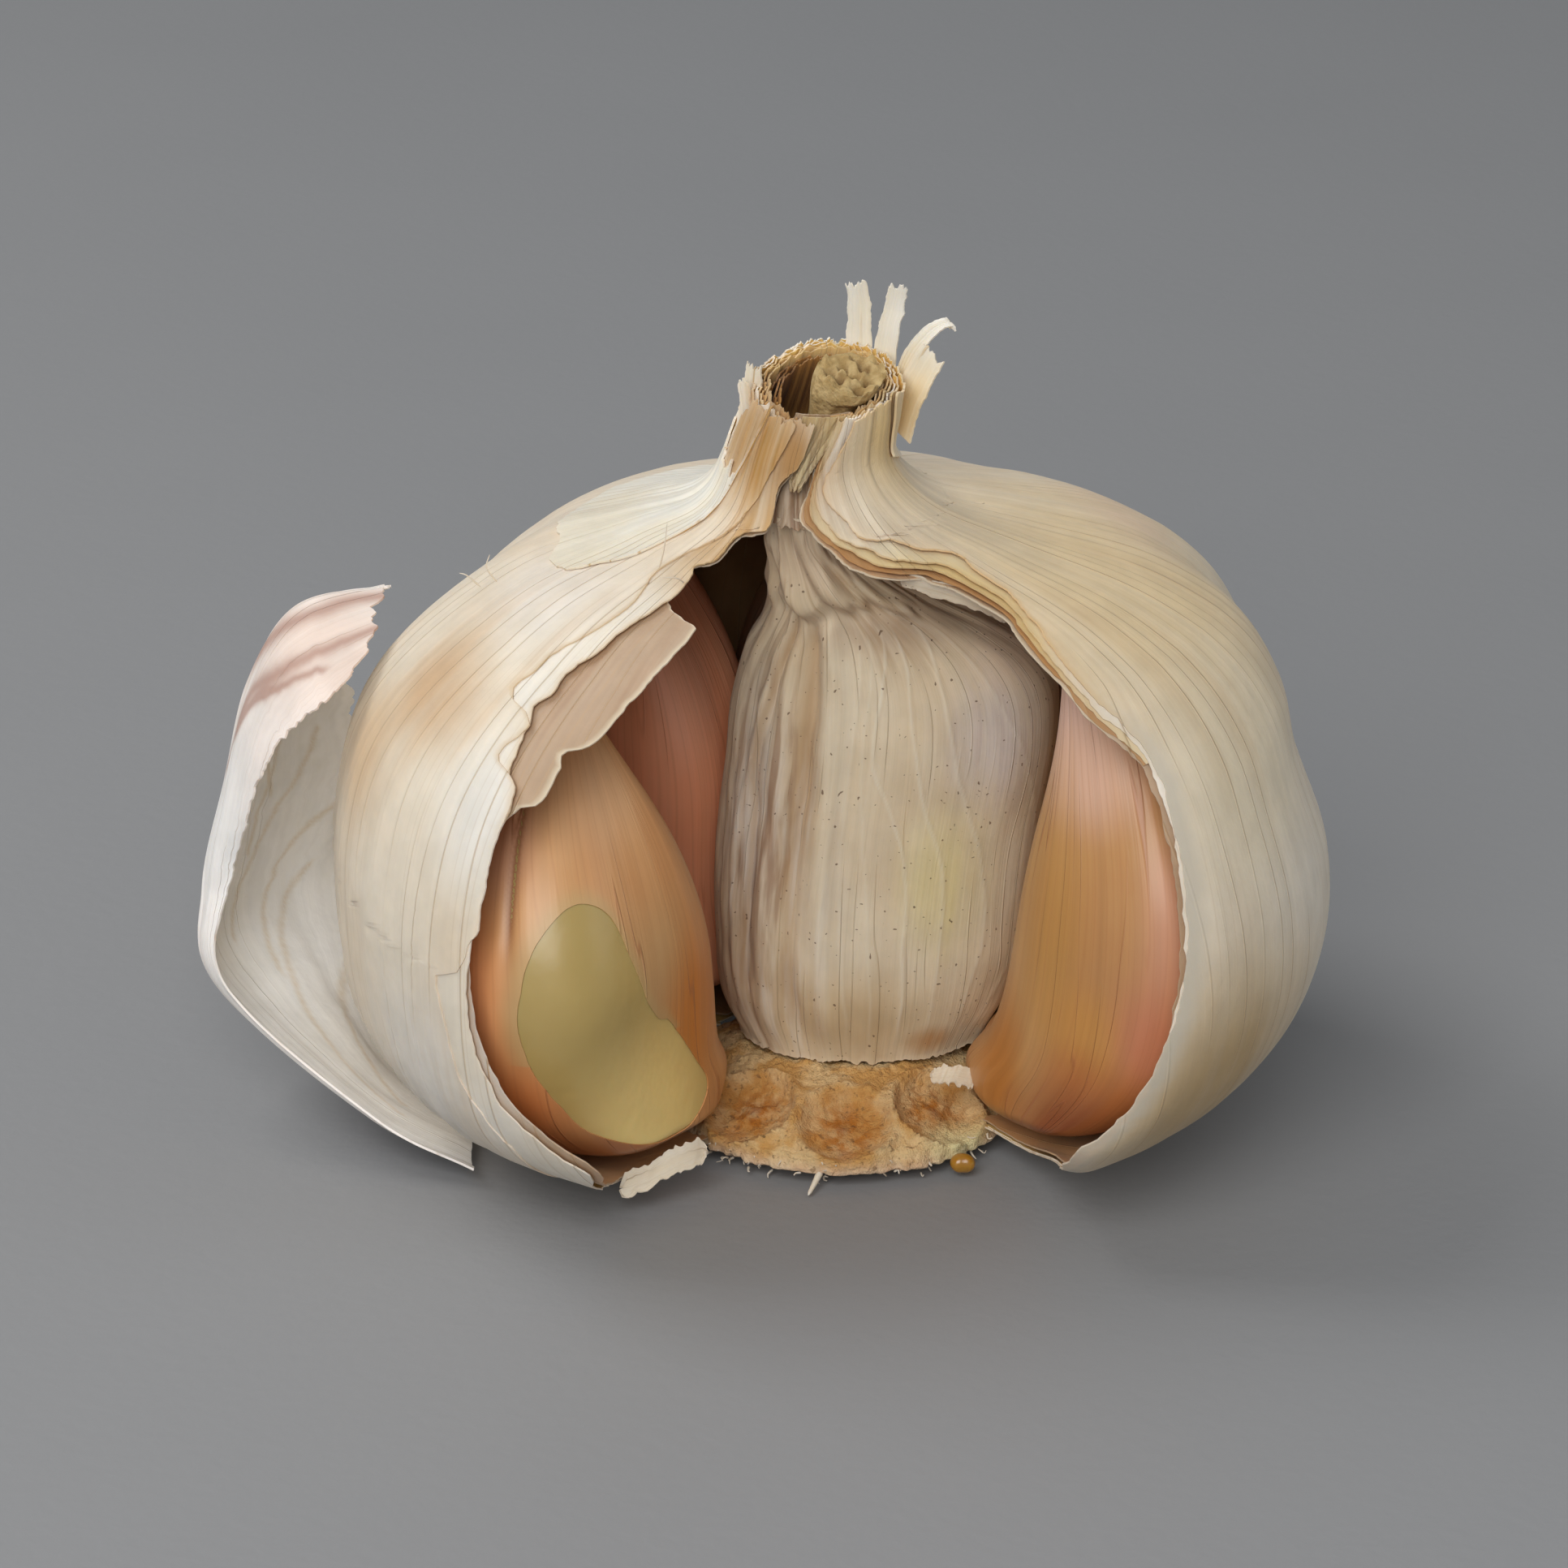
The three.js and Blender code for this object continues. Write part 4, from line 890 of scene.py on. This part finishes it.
# Mark 1, the slit, is painted shade.
left_skin_finish = clove_skin(
    "skin_of_left_clove", *SKIN_TONES["left"], SKIN_STAINS_AND_PAINTED_LIGHT["left"],
    marked=[(2, (0.52, 0.38, 0.17), 0.5), (1, (0.26, 0.09, 0.03), 0.85)],
)
split_skin = sheet("left_clove_skin", 308, 156, split_skin_surface, 0.07, closed=True)
dress(split_skin, "clove_skin", [left_skin_finish, left_skin_finish], "clove_left_skin")

# The middle clove keeps the thin dry leaf that was round it. The leaf is creased and pleated down its left side,
# folds over itself near its gathered top, and runs up into the neck.
middle_x = line_through(
    (5.2, 1.2), (13, 1.4), (19, 1.9), (25, 2.6), (29, 2.6), (32.4, 1.6), (35.6, -0.6), (38.2, -2.2), (39.9, -2.6)
)
middle_y = line_through((5.2, 0.6), (13, 0.9), (28, 0.8), (32, 0.1), (36, -2.2), (39.9, -3.9))
middle_width = line_through(
    (5.2, 7.5), (8, 8.8), (13.4, 9.35), (19, 9.5), (25, 9.7), (27.8, 9.4), (30.2, 8.4), (32, 6.9), (33.5, 5.5),
    (35, 4.4), (36.4, 3.4), (38.4, 2.4), (39.9, 2.0),
)
middle_depth = line_through(
    (5.2, 5.2), (9, 6.2), (15, 6.5), (25, 6.3), (29, 5.7), (32.4, 4.5), (35, 3.3), (38.4, 2.0), (39.9, 1.6)
)

# The leaf's creases, by height and the angle round the leaf: how far each stands out, how wide it is in degrees,
# and whether it is a pale vein (1), a valley with painted shade along one side (2) or neither.
LEAF_CREASES = [
    (0.5, 5.5, 0, [(6, -104), (12, -107), (20, -111), (27, -113), (34, -112)]),
    (-0.65, 4.5, 2, [(6, -118), (12, -122), (20, -123), (27, -122), (34, -121)]),
    (0.3, 4.0, 0, [(6, -131), (12, -134), (20, -131), (27, -134), (34, -130)]),
    (-0.3, 2.5, 2, [(6, -139), (12, -144), (18, -140), (24, -143), (34, -134)]),
    (0.25, 3.0, 0, [(6, -146), (12, -150), (18, -152), (24, -146), (34, -139)]),
    (0.06, 0.8, 1, [(6, -77), (14, -77.5), (18.6, -81), (21.7, -86), (24.8, -95), (28.8, -92.5), (34, -79)]),
    (0.06, 0.8, 1, [(6, -64), (14.6, -64), (18.6, -68), (23.7, -77), (27.4, -81.5), (32, -77), (34, -70)]),
    (0.06, 0.8, 1, [(6, -49), (9, -48), (14, -46), (19.3, -53), (25.5, -66.5), (29.9, -68), (33.2, -59), (35, -55)]),
    (0.05, 0.8, 1, [(6, -36), (9.8, -30), (14.7, -18), (20.2, -22), (27.3, -47), (32.7, -50)]),
    (0.03, 0.7, 1, [(6, -97), (14, -101), (20, -104), (27, -103), (34, -95)]),
    (0.03, 0.7, 1, [(6, -88), (14, -91), (20, -96), (27, -99), (34, -88)]),
]
LEAF_CREASE_LINES = [line_through(*line) for *_, line in LEAF_CREASES]


def leaf_surface(u, v):
    height = 5.0 + (40.4 - 5.0) * v
    angle = 90 + 360 * (u + 0.09 * np.sin(2 * pi * u))
    sway = 1.8 * patchy(height / 4.5, angle / 40, 137) + 0.5 * patchy(height / 1.6, angle / 20, 139)
    body_part = smooth(5.5, 9, height) * (1 - smooth(31.5, 34, height))
    relief, pale, valley_shade = 0.0, 0.0, 0.0
    for (depth, width, kind, _), line in zip(LEAF_CREASES, LEAF_CREASE_LINES):
        away = turned(angle - line(height) - sway)
        relief = relief + depth * bell(away, width) * body_part
        if kind == 1:
            pale = pale + 9 * np.abs(depth) * bell(away, 0.55) * body_part
        # Painted shade along one side of each valley.
        if kind == 2:
            valley_shade = valley_shade + bell(away + 1.5, width * 0.7) * body_part
    left = bell(turned(angle + 145), 26)
    slant = angle + 1.6 * height
    relief = relief + 0.15 * left * patchy(slant / 6.5, height / 3.4, 131) + 0.14 * patchy(angle / 16, height / 6, 132)
    relief = relief + 0.07 * left * patchy((angle - height) / 2.8, height / 2.2, 133)
    front = bell(turned(angle + 100), 60)
    fold = 34.5 + 0.6 * patchy(angle / 17, 0, 134) + 0.25 * patchy(angle / 6, 3, 134) + 0.4 * bell(turned(angle + 92), 14)
    over = smooth(fold - 0.5, fold + 0.35, height) * (1 - smooth(fold + 0.6, fold + 3.0, height))
    relief = relief + (0.65 + 0.25 * patchy(angle / 12, 5, 134)) * front * over
    relief = relief - 0.25 * front * bell(height - fold + 0.8, 0.5)
    gather = smooth(30.5, 35, height)
    relief = relief + 0.3 * gather * patchy(angle / 19, height / 2.4, 141)
    crumpled = 0.22 * patchy(slant / 11, height / 4, 135) + 0.2 * patchy((angle - 3 * height) / 6, height / 3, 138)
    radiating = 0.2 * patchy((angle + 2.6 * height) / 9, height / 5, 140) * bell(height - 32.5, 2.6)
    relief = relief + gather * crumpled + radiating
    right = np.maximum(0, np.cos(np.radians(angle))) * smooth(6, 12, height) * (1 - smooth(28, 33, height))
    relief = relief + 0.75 * right
    x = middle_x(height) + (middle_width(height) - 0.1 + relief) * np.cos(np.radians(angle))
    y = middle_y(height) + (middle_depth(height) - 0.1 + relief) * np.sin(np.radians(angle))
    bottom = 0.25 * torn(u * 40, 136) * (1 - smooth(0, 0.06, v))
    return np.stack([x, y, height + bottom], -1), round_grain(angle, v), pale, valley_shade


leaf_finish = paper(
    "middle_leaf_paper", (0.78, 0.63, 0.45), (0.70, 0.53, 0.35), lines=0.22, line_colour=(0.46, 0.29, 0.15),
    stains_and_painted_light=[
        ((0.64, 0.51, 0.41), (-5.4, -3, 21), (3.6, 5, 12), 0.85),
        ((0.52, 0.33, 0.18), (-2.4, -4, 24), (1.4, 4, 9), 0.6),
        ((0.62, 0.43, 0.28), (-6, -3, 9), (4, 5, 6), 0.8),
        ((0.76, 0.61, 0.30), (6, -4.5, 17), (4.2, 5, 7), 0.9),
        ((0.70, 0.60, 0.54), (9, -3.6, 26), (5, 5, 6), 0.8),
        ((0.56, 0.41, 0.29), (3, -5, 33), (9, 5, 2.6), 0.85),
        # Painted light: this pale patch lightens the leaf's upper right, which lies in the shade of the wrapper's edge.
        ((0.86, 0.64, 0.46), (10.2, -2.4, 31), (5, 6, 3.4), 0.9),
        ((0.50, 0.33, 0.17), (0.4, -5.3, 8), (9, 6, 4.5), 0.8),
        ((0.48, 0.22, 0.07), (5.4, -5, 6.2), (2.4, 3, 1.5), 1.0),
        ((0.50, 0.36, 0.25), (-2, -6, 38), (6, 6, 4), 0.8),
    ],
    streaks=[
        ((0.30, 0.17, 0.10), (-5, -3, 20), (7, 6, 18), 0.8), ((0.40, 0.24, 0.12), (0, -5, 33), (10, 6, 6), 0.5),
        ((0.88, 0.82, 0.74), (-4, -3, 16), (6, 6, 16), 0.5), ((0.50, 0.38, 0.36), (9, -4, 26), (6, 6, 8), 0.35),
    ],
    # Mark 2 is painted shade along one side of each valley.
    marked=[(1, (0.86, 0.78, 0.64), 0.55), (2, (0.42, 0.25, 0.12), 0.6)], count=40,
)
shader = leaf_finish.node_tree.nodes["Principled BSDF"]
specks = between(leaf_finish, noise(leaf_finish, 4200, 0), 0.8, 0.82)
leaf_colour = shader.inputs["Base Color"].links[0].from_socket
leaf_colour = paint(leaf_finish, leaf_colour, (0.12, 0.06, 0.03), times(leaf_finish, specks, 0.8))
leaf_finish.node_tree.links.new(leaf_colour, shader.inputs["Base Color"])
middle_leaf = sheet("gathered_leaf", 260, 170, leaf_surface, 0.12, closed=True)
dress(middle_leaf, "clove_leaf", [leaf_finish, leaf_finish], "middle_leaf")


def middle_clove_surface(t, around):
    rise = (1 - np.cos(pi * t)) / 2
    height = 5.5 + (33.2 - 5.5) * rise
    foot_close = np.sqrt(np.maximum(0, 1 - (1 - np.minimum(1, rise / 0.12)) ** 2))
    close = foot_close * np.maximum(0, 1 - np.maximum(0, (rise - 0.6) / 0.4) ** 2) ** 0.7
    x = middle_x(height) + (middle_width(height) - 1.05) * close * np.cos(around)
    y = middle_y(height) + (middle_depth(height) - 1.05) * close * np.sin(around)
    return np.stack([x, y, height], -1), round_grain(np.degrees(around), t)


middle_skin_finish = clove_skin("skin_of_middle_clove", (0.66, 0.42, 0.27), (0.58, 0.33, 0.2), [])
middle_clove = body("middle_clove", 96, 80, middle_clove_surface)
dress(middle_clove, "clove_skin", [middle_skin_finish], "clove_middle")

# The torn outer skin that stands away on the left. It is one sheet between a back and a front margin, folded
# where it is furthest left, white outside with brown streaks near its tip and bluish white inside.
peel_back = curve_through([
    (-22.9, -1, 0.75), (-27.8, 4, 2.7), (-29.8, 14, 9.2), (-29.2, 15, 14.5), (-29.9, 12.5, 20.5), (-31, 10.5, 25.5),
    (-30, 8.5, 30.0), (-26.9, 6.0, 32.0),
])
peel_fold = curve_through([
    (-22.4, -10.2, 0.75), (-28.9, -8, 3.1), (-38.3, -1, 8.6), (-39.0, 2, 13.5), (-37.6, 4, 19.5), (-35.8, 5, 25.8),
    (-32.7, 5, 30.8), (-26.9, 4.6, 32.4),
])
peel_front = curve_through([
    (-22.2, -11.6, 1.1), (-28.5, -9.4, 3.6), (-37.6, -2.8, 9.4), (-36.9, -0.6, 15.3), (-35.5, -2.5, 20.8),
    (-33.7, -3.5, 24.9), (-31.4, -4, 27.5), (-29.1, -2.5, 29.4),
])
PEEL_FOLD_AT = 0.64


PEEL_STREAKS = [
    (0.030, [(0.62, 0.74), (0.692, 0.856), (0.699, 0.906), (0.676, 0.95), (0.679, 1.0)]),
    (0.026, [(0.72, 0.68), (0.746, 0.736), (0.803, 0.783), (0.829, 0.833), (0.836, 0.9), (0.82, 1.0)]),
    (0.014, [(0.66, 0.6), (0.78, 0.72), (0.86, 0.8), (0.9, 0.9)]),
]
PEEL_VEINS = [
    [(0.33, 0.42), (0.29, 0.5), (0.2, 0.62), (0.1, 0.7)], [(0.4, 0.3), (0.3, 0.42), (0.2, 0.5), (0.1, 0.58)],
    [(0.33, 0.25), (0.25, 0.33), (0.17, 0.4), (0.05, 0.45)], [(0.45, 0.1), (0.36, 0.2), (0.26, 0.27), (0.12, 0.34)],
    [(0.27, 0.5), (0.29, 0.6), (0.27, 0.75), (0.3, 0.9)], [(0.36, 0.1), (0.24, 0.18), (0.1, 0.22)],
]


def near_line(u, v, line, width):
    """1 on a line through (u, v) points, fading out over a width."""
    points = curve_through(line)(np.linspace(0, 1, 60))
    away = np.min(np.hypot(u[:, None] - points[:, 0], v[:, None] - points[:, 1]), axis=1)
    return bell(away, width)


def peel_surface(u, v):
    v = v * (1 - 0.014 * (1 + torn(u * 22, 141)))
    middle, back, front = peel_fold(v), peel_back(v), peel_front(v)
    behind = u < PEEL_FOLD_AT
    margin = np.where(behind[:, None], back, front)
    share = np.where(behind, 1 - u / PEEL_FOLD_AT, (u - PEEL_FOLD_AT) / (1 - PEEL_FOLD_AT))
    ragged = 0.05 * torn(v * 17 + 7 * behind, 142) + 0.015 * torn(v * 60 + 3 * behind, 146)
    reach = (share * (1 + ragged * (share > 0.0)))[:, None]
    bend = middle + (margin - middle) * 0.45
    bend[:, 0] = middle[:, 0]
    points = middle * (1 - reach) ** 2 + 2 * bend * reach * (1 - reach) + margin * reach**2
    ripple = 0.25 * patchy(u * 7, v * 5, 143) + 0.06 * patchy(u * 22, v * 7, 144)
    points[:, 0] += ripple * (0.5 + 0.5 * smooth(0, 0.2, v)) - 0.35 * smooth(0.3, 0.8, v)
    points[:, 2] += 0.12 * patchy(u * 14, v * 10, 145) * smooth(0, 0.2, v)
    streak = sum(near_line(u, v, line, width) for width, line in PEEL_STREAKS)
    vein = sum(near_line(u, v, line, 0.006) for line in PEEL_VEINS)
    return points, round_grain(80 * u + 25 * v, v * 0.6), streak, vein


peel_outside = paper(
    "peel_outside", (0.93, 0.88, 0.83), (0.92, 0.82, 0.76), lines=0.4, thin=0.12,
    stains_and_painted_light=[((0.78, 0.60, 0.51), (-31, 0, 30), (9, 9, 5.5), 0.95), ((0.90, 0.89, 0.87), (-38, 0, 17), (5, 9, 11), 0.8)],
    marked=[(1, (0.40, 0.22, 0.17), 0.8)],
)
# The inside is painted near-white: the thin skin's own white, made brighter still as painted light for light shining
# through it.
peel_inside = paper(
    "peel_inside", (0.97, 0.97, 0.95), (0.96, 0.95, 0.90), lines=0.15, line_colour=(0.70, 0.58, 0.40), thin=0.1,
    marked=[(2, (0.66, 0.50, 0.30), 0.5)],
)
peel = sheet("torn_peel", 150, 170, peel_surface, 0.14)
dress(peel, "peeled_paper", [peel_outside, peel_inside], "peeled_skin")

# Root plate: the corky disc that the cloves grow on, flat below, with three round scars where the front cloves
# were pulled off, a torn rim, root stubs and one bead of dried yellow sap.
plate_side = np.array([
    (0, 0), (7.4, 0), (9.4, 0.35), (10.8, 1.0), (10.5, 1.9), (9.2, 2.9), (7.6, 3.9), (6.2, 4.5), (4.8, 4.7), (0, 4.7)
])
plate_steps = np.concatenate([[0], np.cumsum(np.hypot(*np.diff(plate_side, axis=0).T))])
SCARS = [(-128, 9.1, 3.2), (-90, 9.5, 3.1), (-52, 9.2, 3.2)]
SCAR_RADIUS = 2.85


def plate_surface(t, around):
    along = t * plate_steps[-1]
    radius, height = (np.interp(along, plate_steps, plate_side[:, k]) for k in (0, 1))
    angle = np.degrees(around)
    rim = bell(height - 1.0, 1.0) * smooth(7.5, 9.5, radius)
    radius = radius * (1 + 0.115 * bell(turned(angle + 90), 62) * smooth(5.5, 10, radius))
    radius = radius + rim * (0.3 * torn(angle / 5 + 40, 151) + 0.35 * torn(angle / 1.6 + 90, 152))
    x, y = radius * np.cos(around), radius * np.sin(around)
    upper = smooth(0.6, 2.0, height)
    cork = 0.16 * patchy(x * 1.3 + 40, y * 1.3 + height, 153) + 0.1 * patchy(x * 3.4 + 40, y * 3.4 + height * 2, 154)
    cork = cork + 0.1 * patchy(x * 8 + 90, y * 8 + height * 5, 155)
    rise = upper * cork
    for scar_angle, distance, scar_height in SCARS:
        a = np.radians(scar_angle)
        centre = np.array([distance * np.cos(a), distance * np.sin(a), scar_height])
        away = np.linalg.norm(np.stack([x, y, height], -1) - centre, axis=-1) + 0.12 * torn(angle / 7 + height, 156)
        dish = np.maximum(0, 1 - (away / SCAR_RADIUS) ** 2)
        rise = rise - 0.95 * dish**0.5 * upper + 0.4 * bell(away - SCAR_RADIUS, 0.42) * upper
        rise = rise + 0.3 * bell(away, 0.8) * upper
    slope = np.radians(40)
    side = smooth(5, 9, radius)
    x, y = x + rise * np.sin(slope) * side * np.cos(around), y + rise * np.sin(slope) * side * np.sin(around)
    height = np.maximum(0, height + rise * (1 - side * (1 - np.cos(slope))) - 0.1 * rim * torn(angle / 3 + 60, 157))
    return np.stack([x, y, height], -1), (x * 0.1, y * 0.1, height * 0.1)


cork_finish = new_material("root_plate_cork", 0.9, subsurface=0.08)
cork_clouds = between(cork_finish, noise(cork_finish, 420, 4), 0.4, 0.6)
cork_colour = paint(cork_finish, (0.82, 0.58, 0.29), (0.68, 0.38, 0.12), cork_clouds)
for scar_angle, distance, scar_height in SCARS:
    a = np.radians(scar_angle)
    centre = (distance * np.cos(a), distance * np.sin(a), scar_height)
    ring = spot(cork_finish, centre, (3.9, 3.9, 3.9))
    grainy = between(cork_finish, noise(cork_finish, 1500, 4), 0.38, 0.6, 0.5, 1.0)
    grainy = times(cork_finish, times(cork_finish, ring, grainy), 1.0)
    cork_colour = paint(cork_finish, cork_colour, (0.46, 0.15, 0.008), grainy)
    hollow = times(cork_finish, spot(cork_finish, centre, (1.0, 1.0, 1.0)), 0.6)
    cork_colour = paint(cork_finish, cork_colour, (0.40, 0.30, 0.20), hollow)
pink_rim = add_node(cork_finish, "Math", {0: 1.0, 1: height_above(cork_finish, 0.6, 2.0)}, operation="SUBTRACT")
cork_colour = paint(cork_finish, cork_colour, (0.80, 0.60, 0.48), times(cork_finish, pink_rim, 0.7))
specks = between(cork_finish, noise(cork_finish, 2400, 2), 0.62, 0.7)
cork_colour = paint(cork_finish, cork_colour, (0.22, 0.11, 0.04), times(cork_finish, specks, 0.6))
yellow_wet = spot(cork_finish, (7.2, -9.2, 1.9), (3.4, 3.2, 2.8))
cork_colour = paint(cork_finish, cork_colour, (0.84, 0.74, 0.40), times(cork_finish, yellow_wet, 0.95))
finish_material(cork_finish, cork_colour, noise(cork_finish, 1700, 5, roughness=0.7), 0.0005)
plate = body("cork_plate", 240, 170, plate_surface)
dress(plate, "cork", [cork_finish], "root_plate")

# Loose bits: scraps of skin round the foot, a pale sliver under the torn shoulder and a scale at the middle
# clove's foot, root fibres round the plate's rim, a bead of yellow sap, and hairs standing on the left shoulder.
scrap_finish = paper("scrap_paper", (0.84, 0.74, 0.60), (0.76, 0.62, 0.45), lines=0.5)
SCRAPS = [
    ("pale_sliver", [(3.2, -8.2, 37.5), (5.4, -8.7, 37.1), (7.6, -8.6, 36.3), (10.0, -7.6, 34.8)], 1.3, (0.1, 0.3, -1)),
    ("foot_scale", [(5.2, -7.4, 5.3), (6.4, -7.8, 5.6), (7.8, -7.6, 5.2)], 1.2, (0, -0.7, -0.7)),
    ("left_scrap", [(-13.4, -15.6, 1.7), (-11.2, -15.0, 2.5), (-9.4, -13.8, 3.0), (-8.2, -12.8, 2.9)], 1.5, (0.3, -0.5, -0.8)),
]
for number, (name, path, width, across) in enumerate(SCRAPS):
    centre, side = curve_through(path), np.array(across) / np.linalg.norm(across)

    def scrap_surface(u, v):
        taper = np.sqrt(np.maximum(0.02, 1 - (2 * v - 1) ** 8))
        wide = width * taper * (u - 0.5) + 0.3 * torn(v * 9 + (u > 0.5) * 5, 190 + number) * np.abs(2 * u - 1)
        curl = 0.3 * width * (u - 0.5) ** 2 + 0.1 * torn(v * 5 + u, 195 + number)
        ends = v + 0.09 * torn(u * 7, 198 + number) * np.abs(2 * v - 1)
        points = centre(ends) + wide[:, None] * side + curl[:, None] * np.array((0, -0.5, 0.8))
        return points, (u * 0.35 + number, v * 0, v * 0.2)

    piece = sheet(name, 14, 40, scrap_surface, 0.1)
    dress(piece, "outer_paper", [scrap_finish, scrap_finish])


def fibre_tube(name, path, radius, segments=7, rings=16):
    """A thin hair along a path, thinner towards its end."""
    centre = curve_through(path)

    def surface(t, around):
        close = np.minimum(1, 10 * t) * np.minimum(1, 10 * (1 - t)) * (1 - 0.6 * t)
        along = centre(np.minimum(1, t + 0.01)) - centre(np.maximum(0, t - 0.01))
        along /= np.linalg.norm(along, axis=-1, keepdims=True)
        side = np.cross(along, (0.3, 0.9, 0.2))
        side /= np.linalg.norm(side, axis=-1, keepdims=True)
        over = np.cross(along, side)
        ring = np.cos(around)[:, None] * side + np.sin(around)[:, None] * over
        return centre(t) + radius * close[:, None] * ring, (around * 0, around * 0, t)

    return body(name, segments, rings, surface)


random = np.random.default_rng(200)
fibres = []
for number in range(120):
    a = np.radians(random.uniform(-172, -8))
    reach = 1 + 0.11 * np.exp(-((turned(np.degrees(a) + 90) / 62) ** 2))
    out, low = reach * random.uniform(9.6, 10.6), random.uniform(0.3, 1.7)
    long, swing = random.uniform(0.3, 0.9), random.uniform(-0.6, 0.6)
    start = np.array([out * np.cos(a), out * np.sin(a), low])
    away = np.array([np.cos(a + swing), np.sin(a + swing), random.uniform(-0.5, 0.4)])
    end = start + away * long
    end[2] = max(0.12, end[2])
    bend = (start + end) / 2 + random.uniform(-0.2, 0.2, 3)
    bend[2] = max(0.12, bend[2])
    fibres.append(fibre_tube("root_fibre", [start, bend, end], random.uniform(0.04, 0.1)))
fibres.append(fibre_tube("hanging_root", [(-1.4, -11.4, 1.0), (-1.8, -12.4, 0.6), (-2.2, -13.4, 0.25)], 0.24, 12))
for piece in fibres:
    piece.select_set(True)
bpy.ops.object.join()
dress(bpy.context.object, "cork", [scrap_finish])
bpy.context.object.name = "root_fibres"

sap_finish = new_material("dried_sap", 0.15, subsurface=0.5, coat=0.5)
sap_colour = paint(sap_finish, (0.42, 0.22, 0.02), (0.32, 0.14, 0.012), noise(sap_finish, 800))
finish_material(sap_finish, sap_colour, noise(sap_finish, 1500), 0.00002)


def sap_surface(t, around):
    wide = 0.62 * np.sin(pi * t) * (1 + 0.2 * patchy(np.cos(around) * 1.5 + 5, np.sin(around) * 1.5 + 5, 201))
    x, y = 7.1 + 1.2 * wide * np.cos(around), -10.3 + wide * np.sin(around)
    return np.stack([x, y, 0.95 - 0.6 * np.cos(pi * t)], -1), (t * 0, t * 0, t)


sap_bead = body("sap_bead", 32, 24, sap_surface)
dress(sap_bead, "cork", [sap_finish])

HAIRS = [
    [(-10.9, -8.6, 38.4), (-10.6, -9.2, 39.9), (-10.4, -9.3, 41.6)],
    [(-20.6, -3.4, 35.6), (-21.2, -3.6, 36.6), (-21.0, -3.4, 37.4)],
    [(-21.6, -2.6, 35.0), (-22.4, -2.8, 35.8), (-22.9, -2.6, 35.9)],
    [(-9.4, -10.0, 38.0), (-9.9, -10.8, 38.6), (-10.8, -11.2, 38.8)],
]
hairs = [fibre_tube("shoulder_hair", path, 0.06) for path in HAIRS]
for piece in hairs:
    piece.select_set(True)
bpy.ops.object.join()
dress(bpy.context.object, "outer_paper", [scrap_finish])
bpy.context.object.name = "shoulder_hairs"
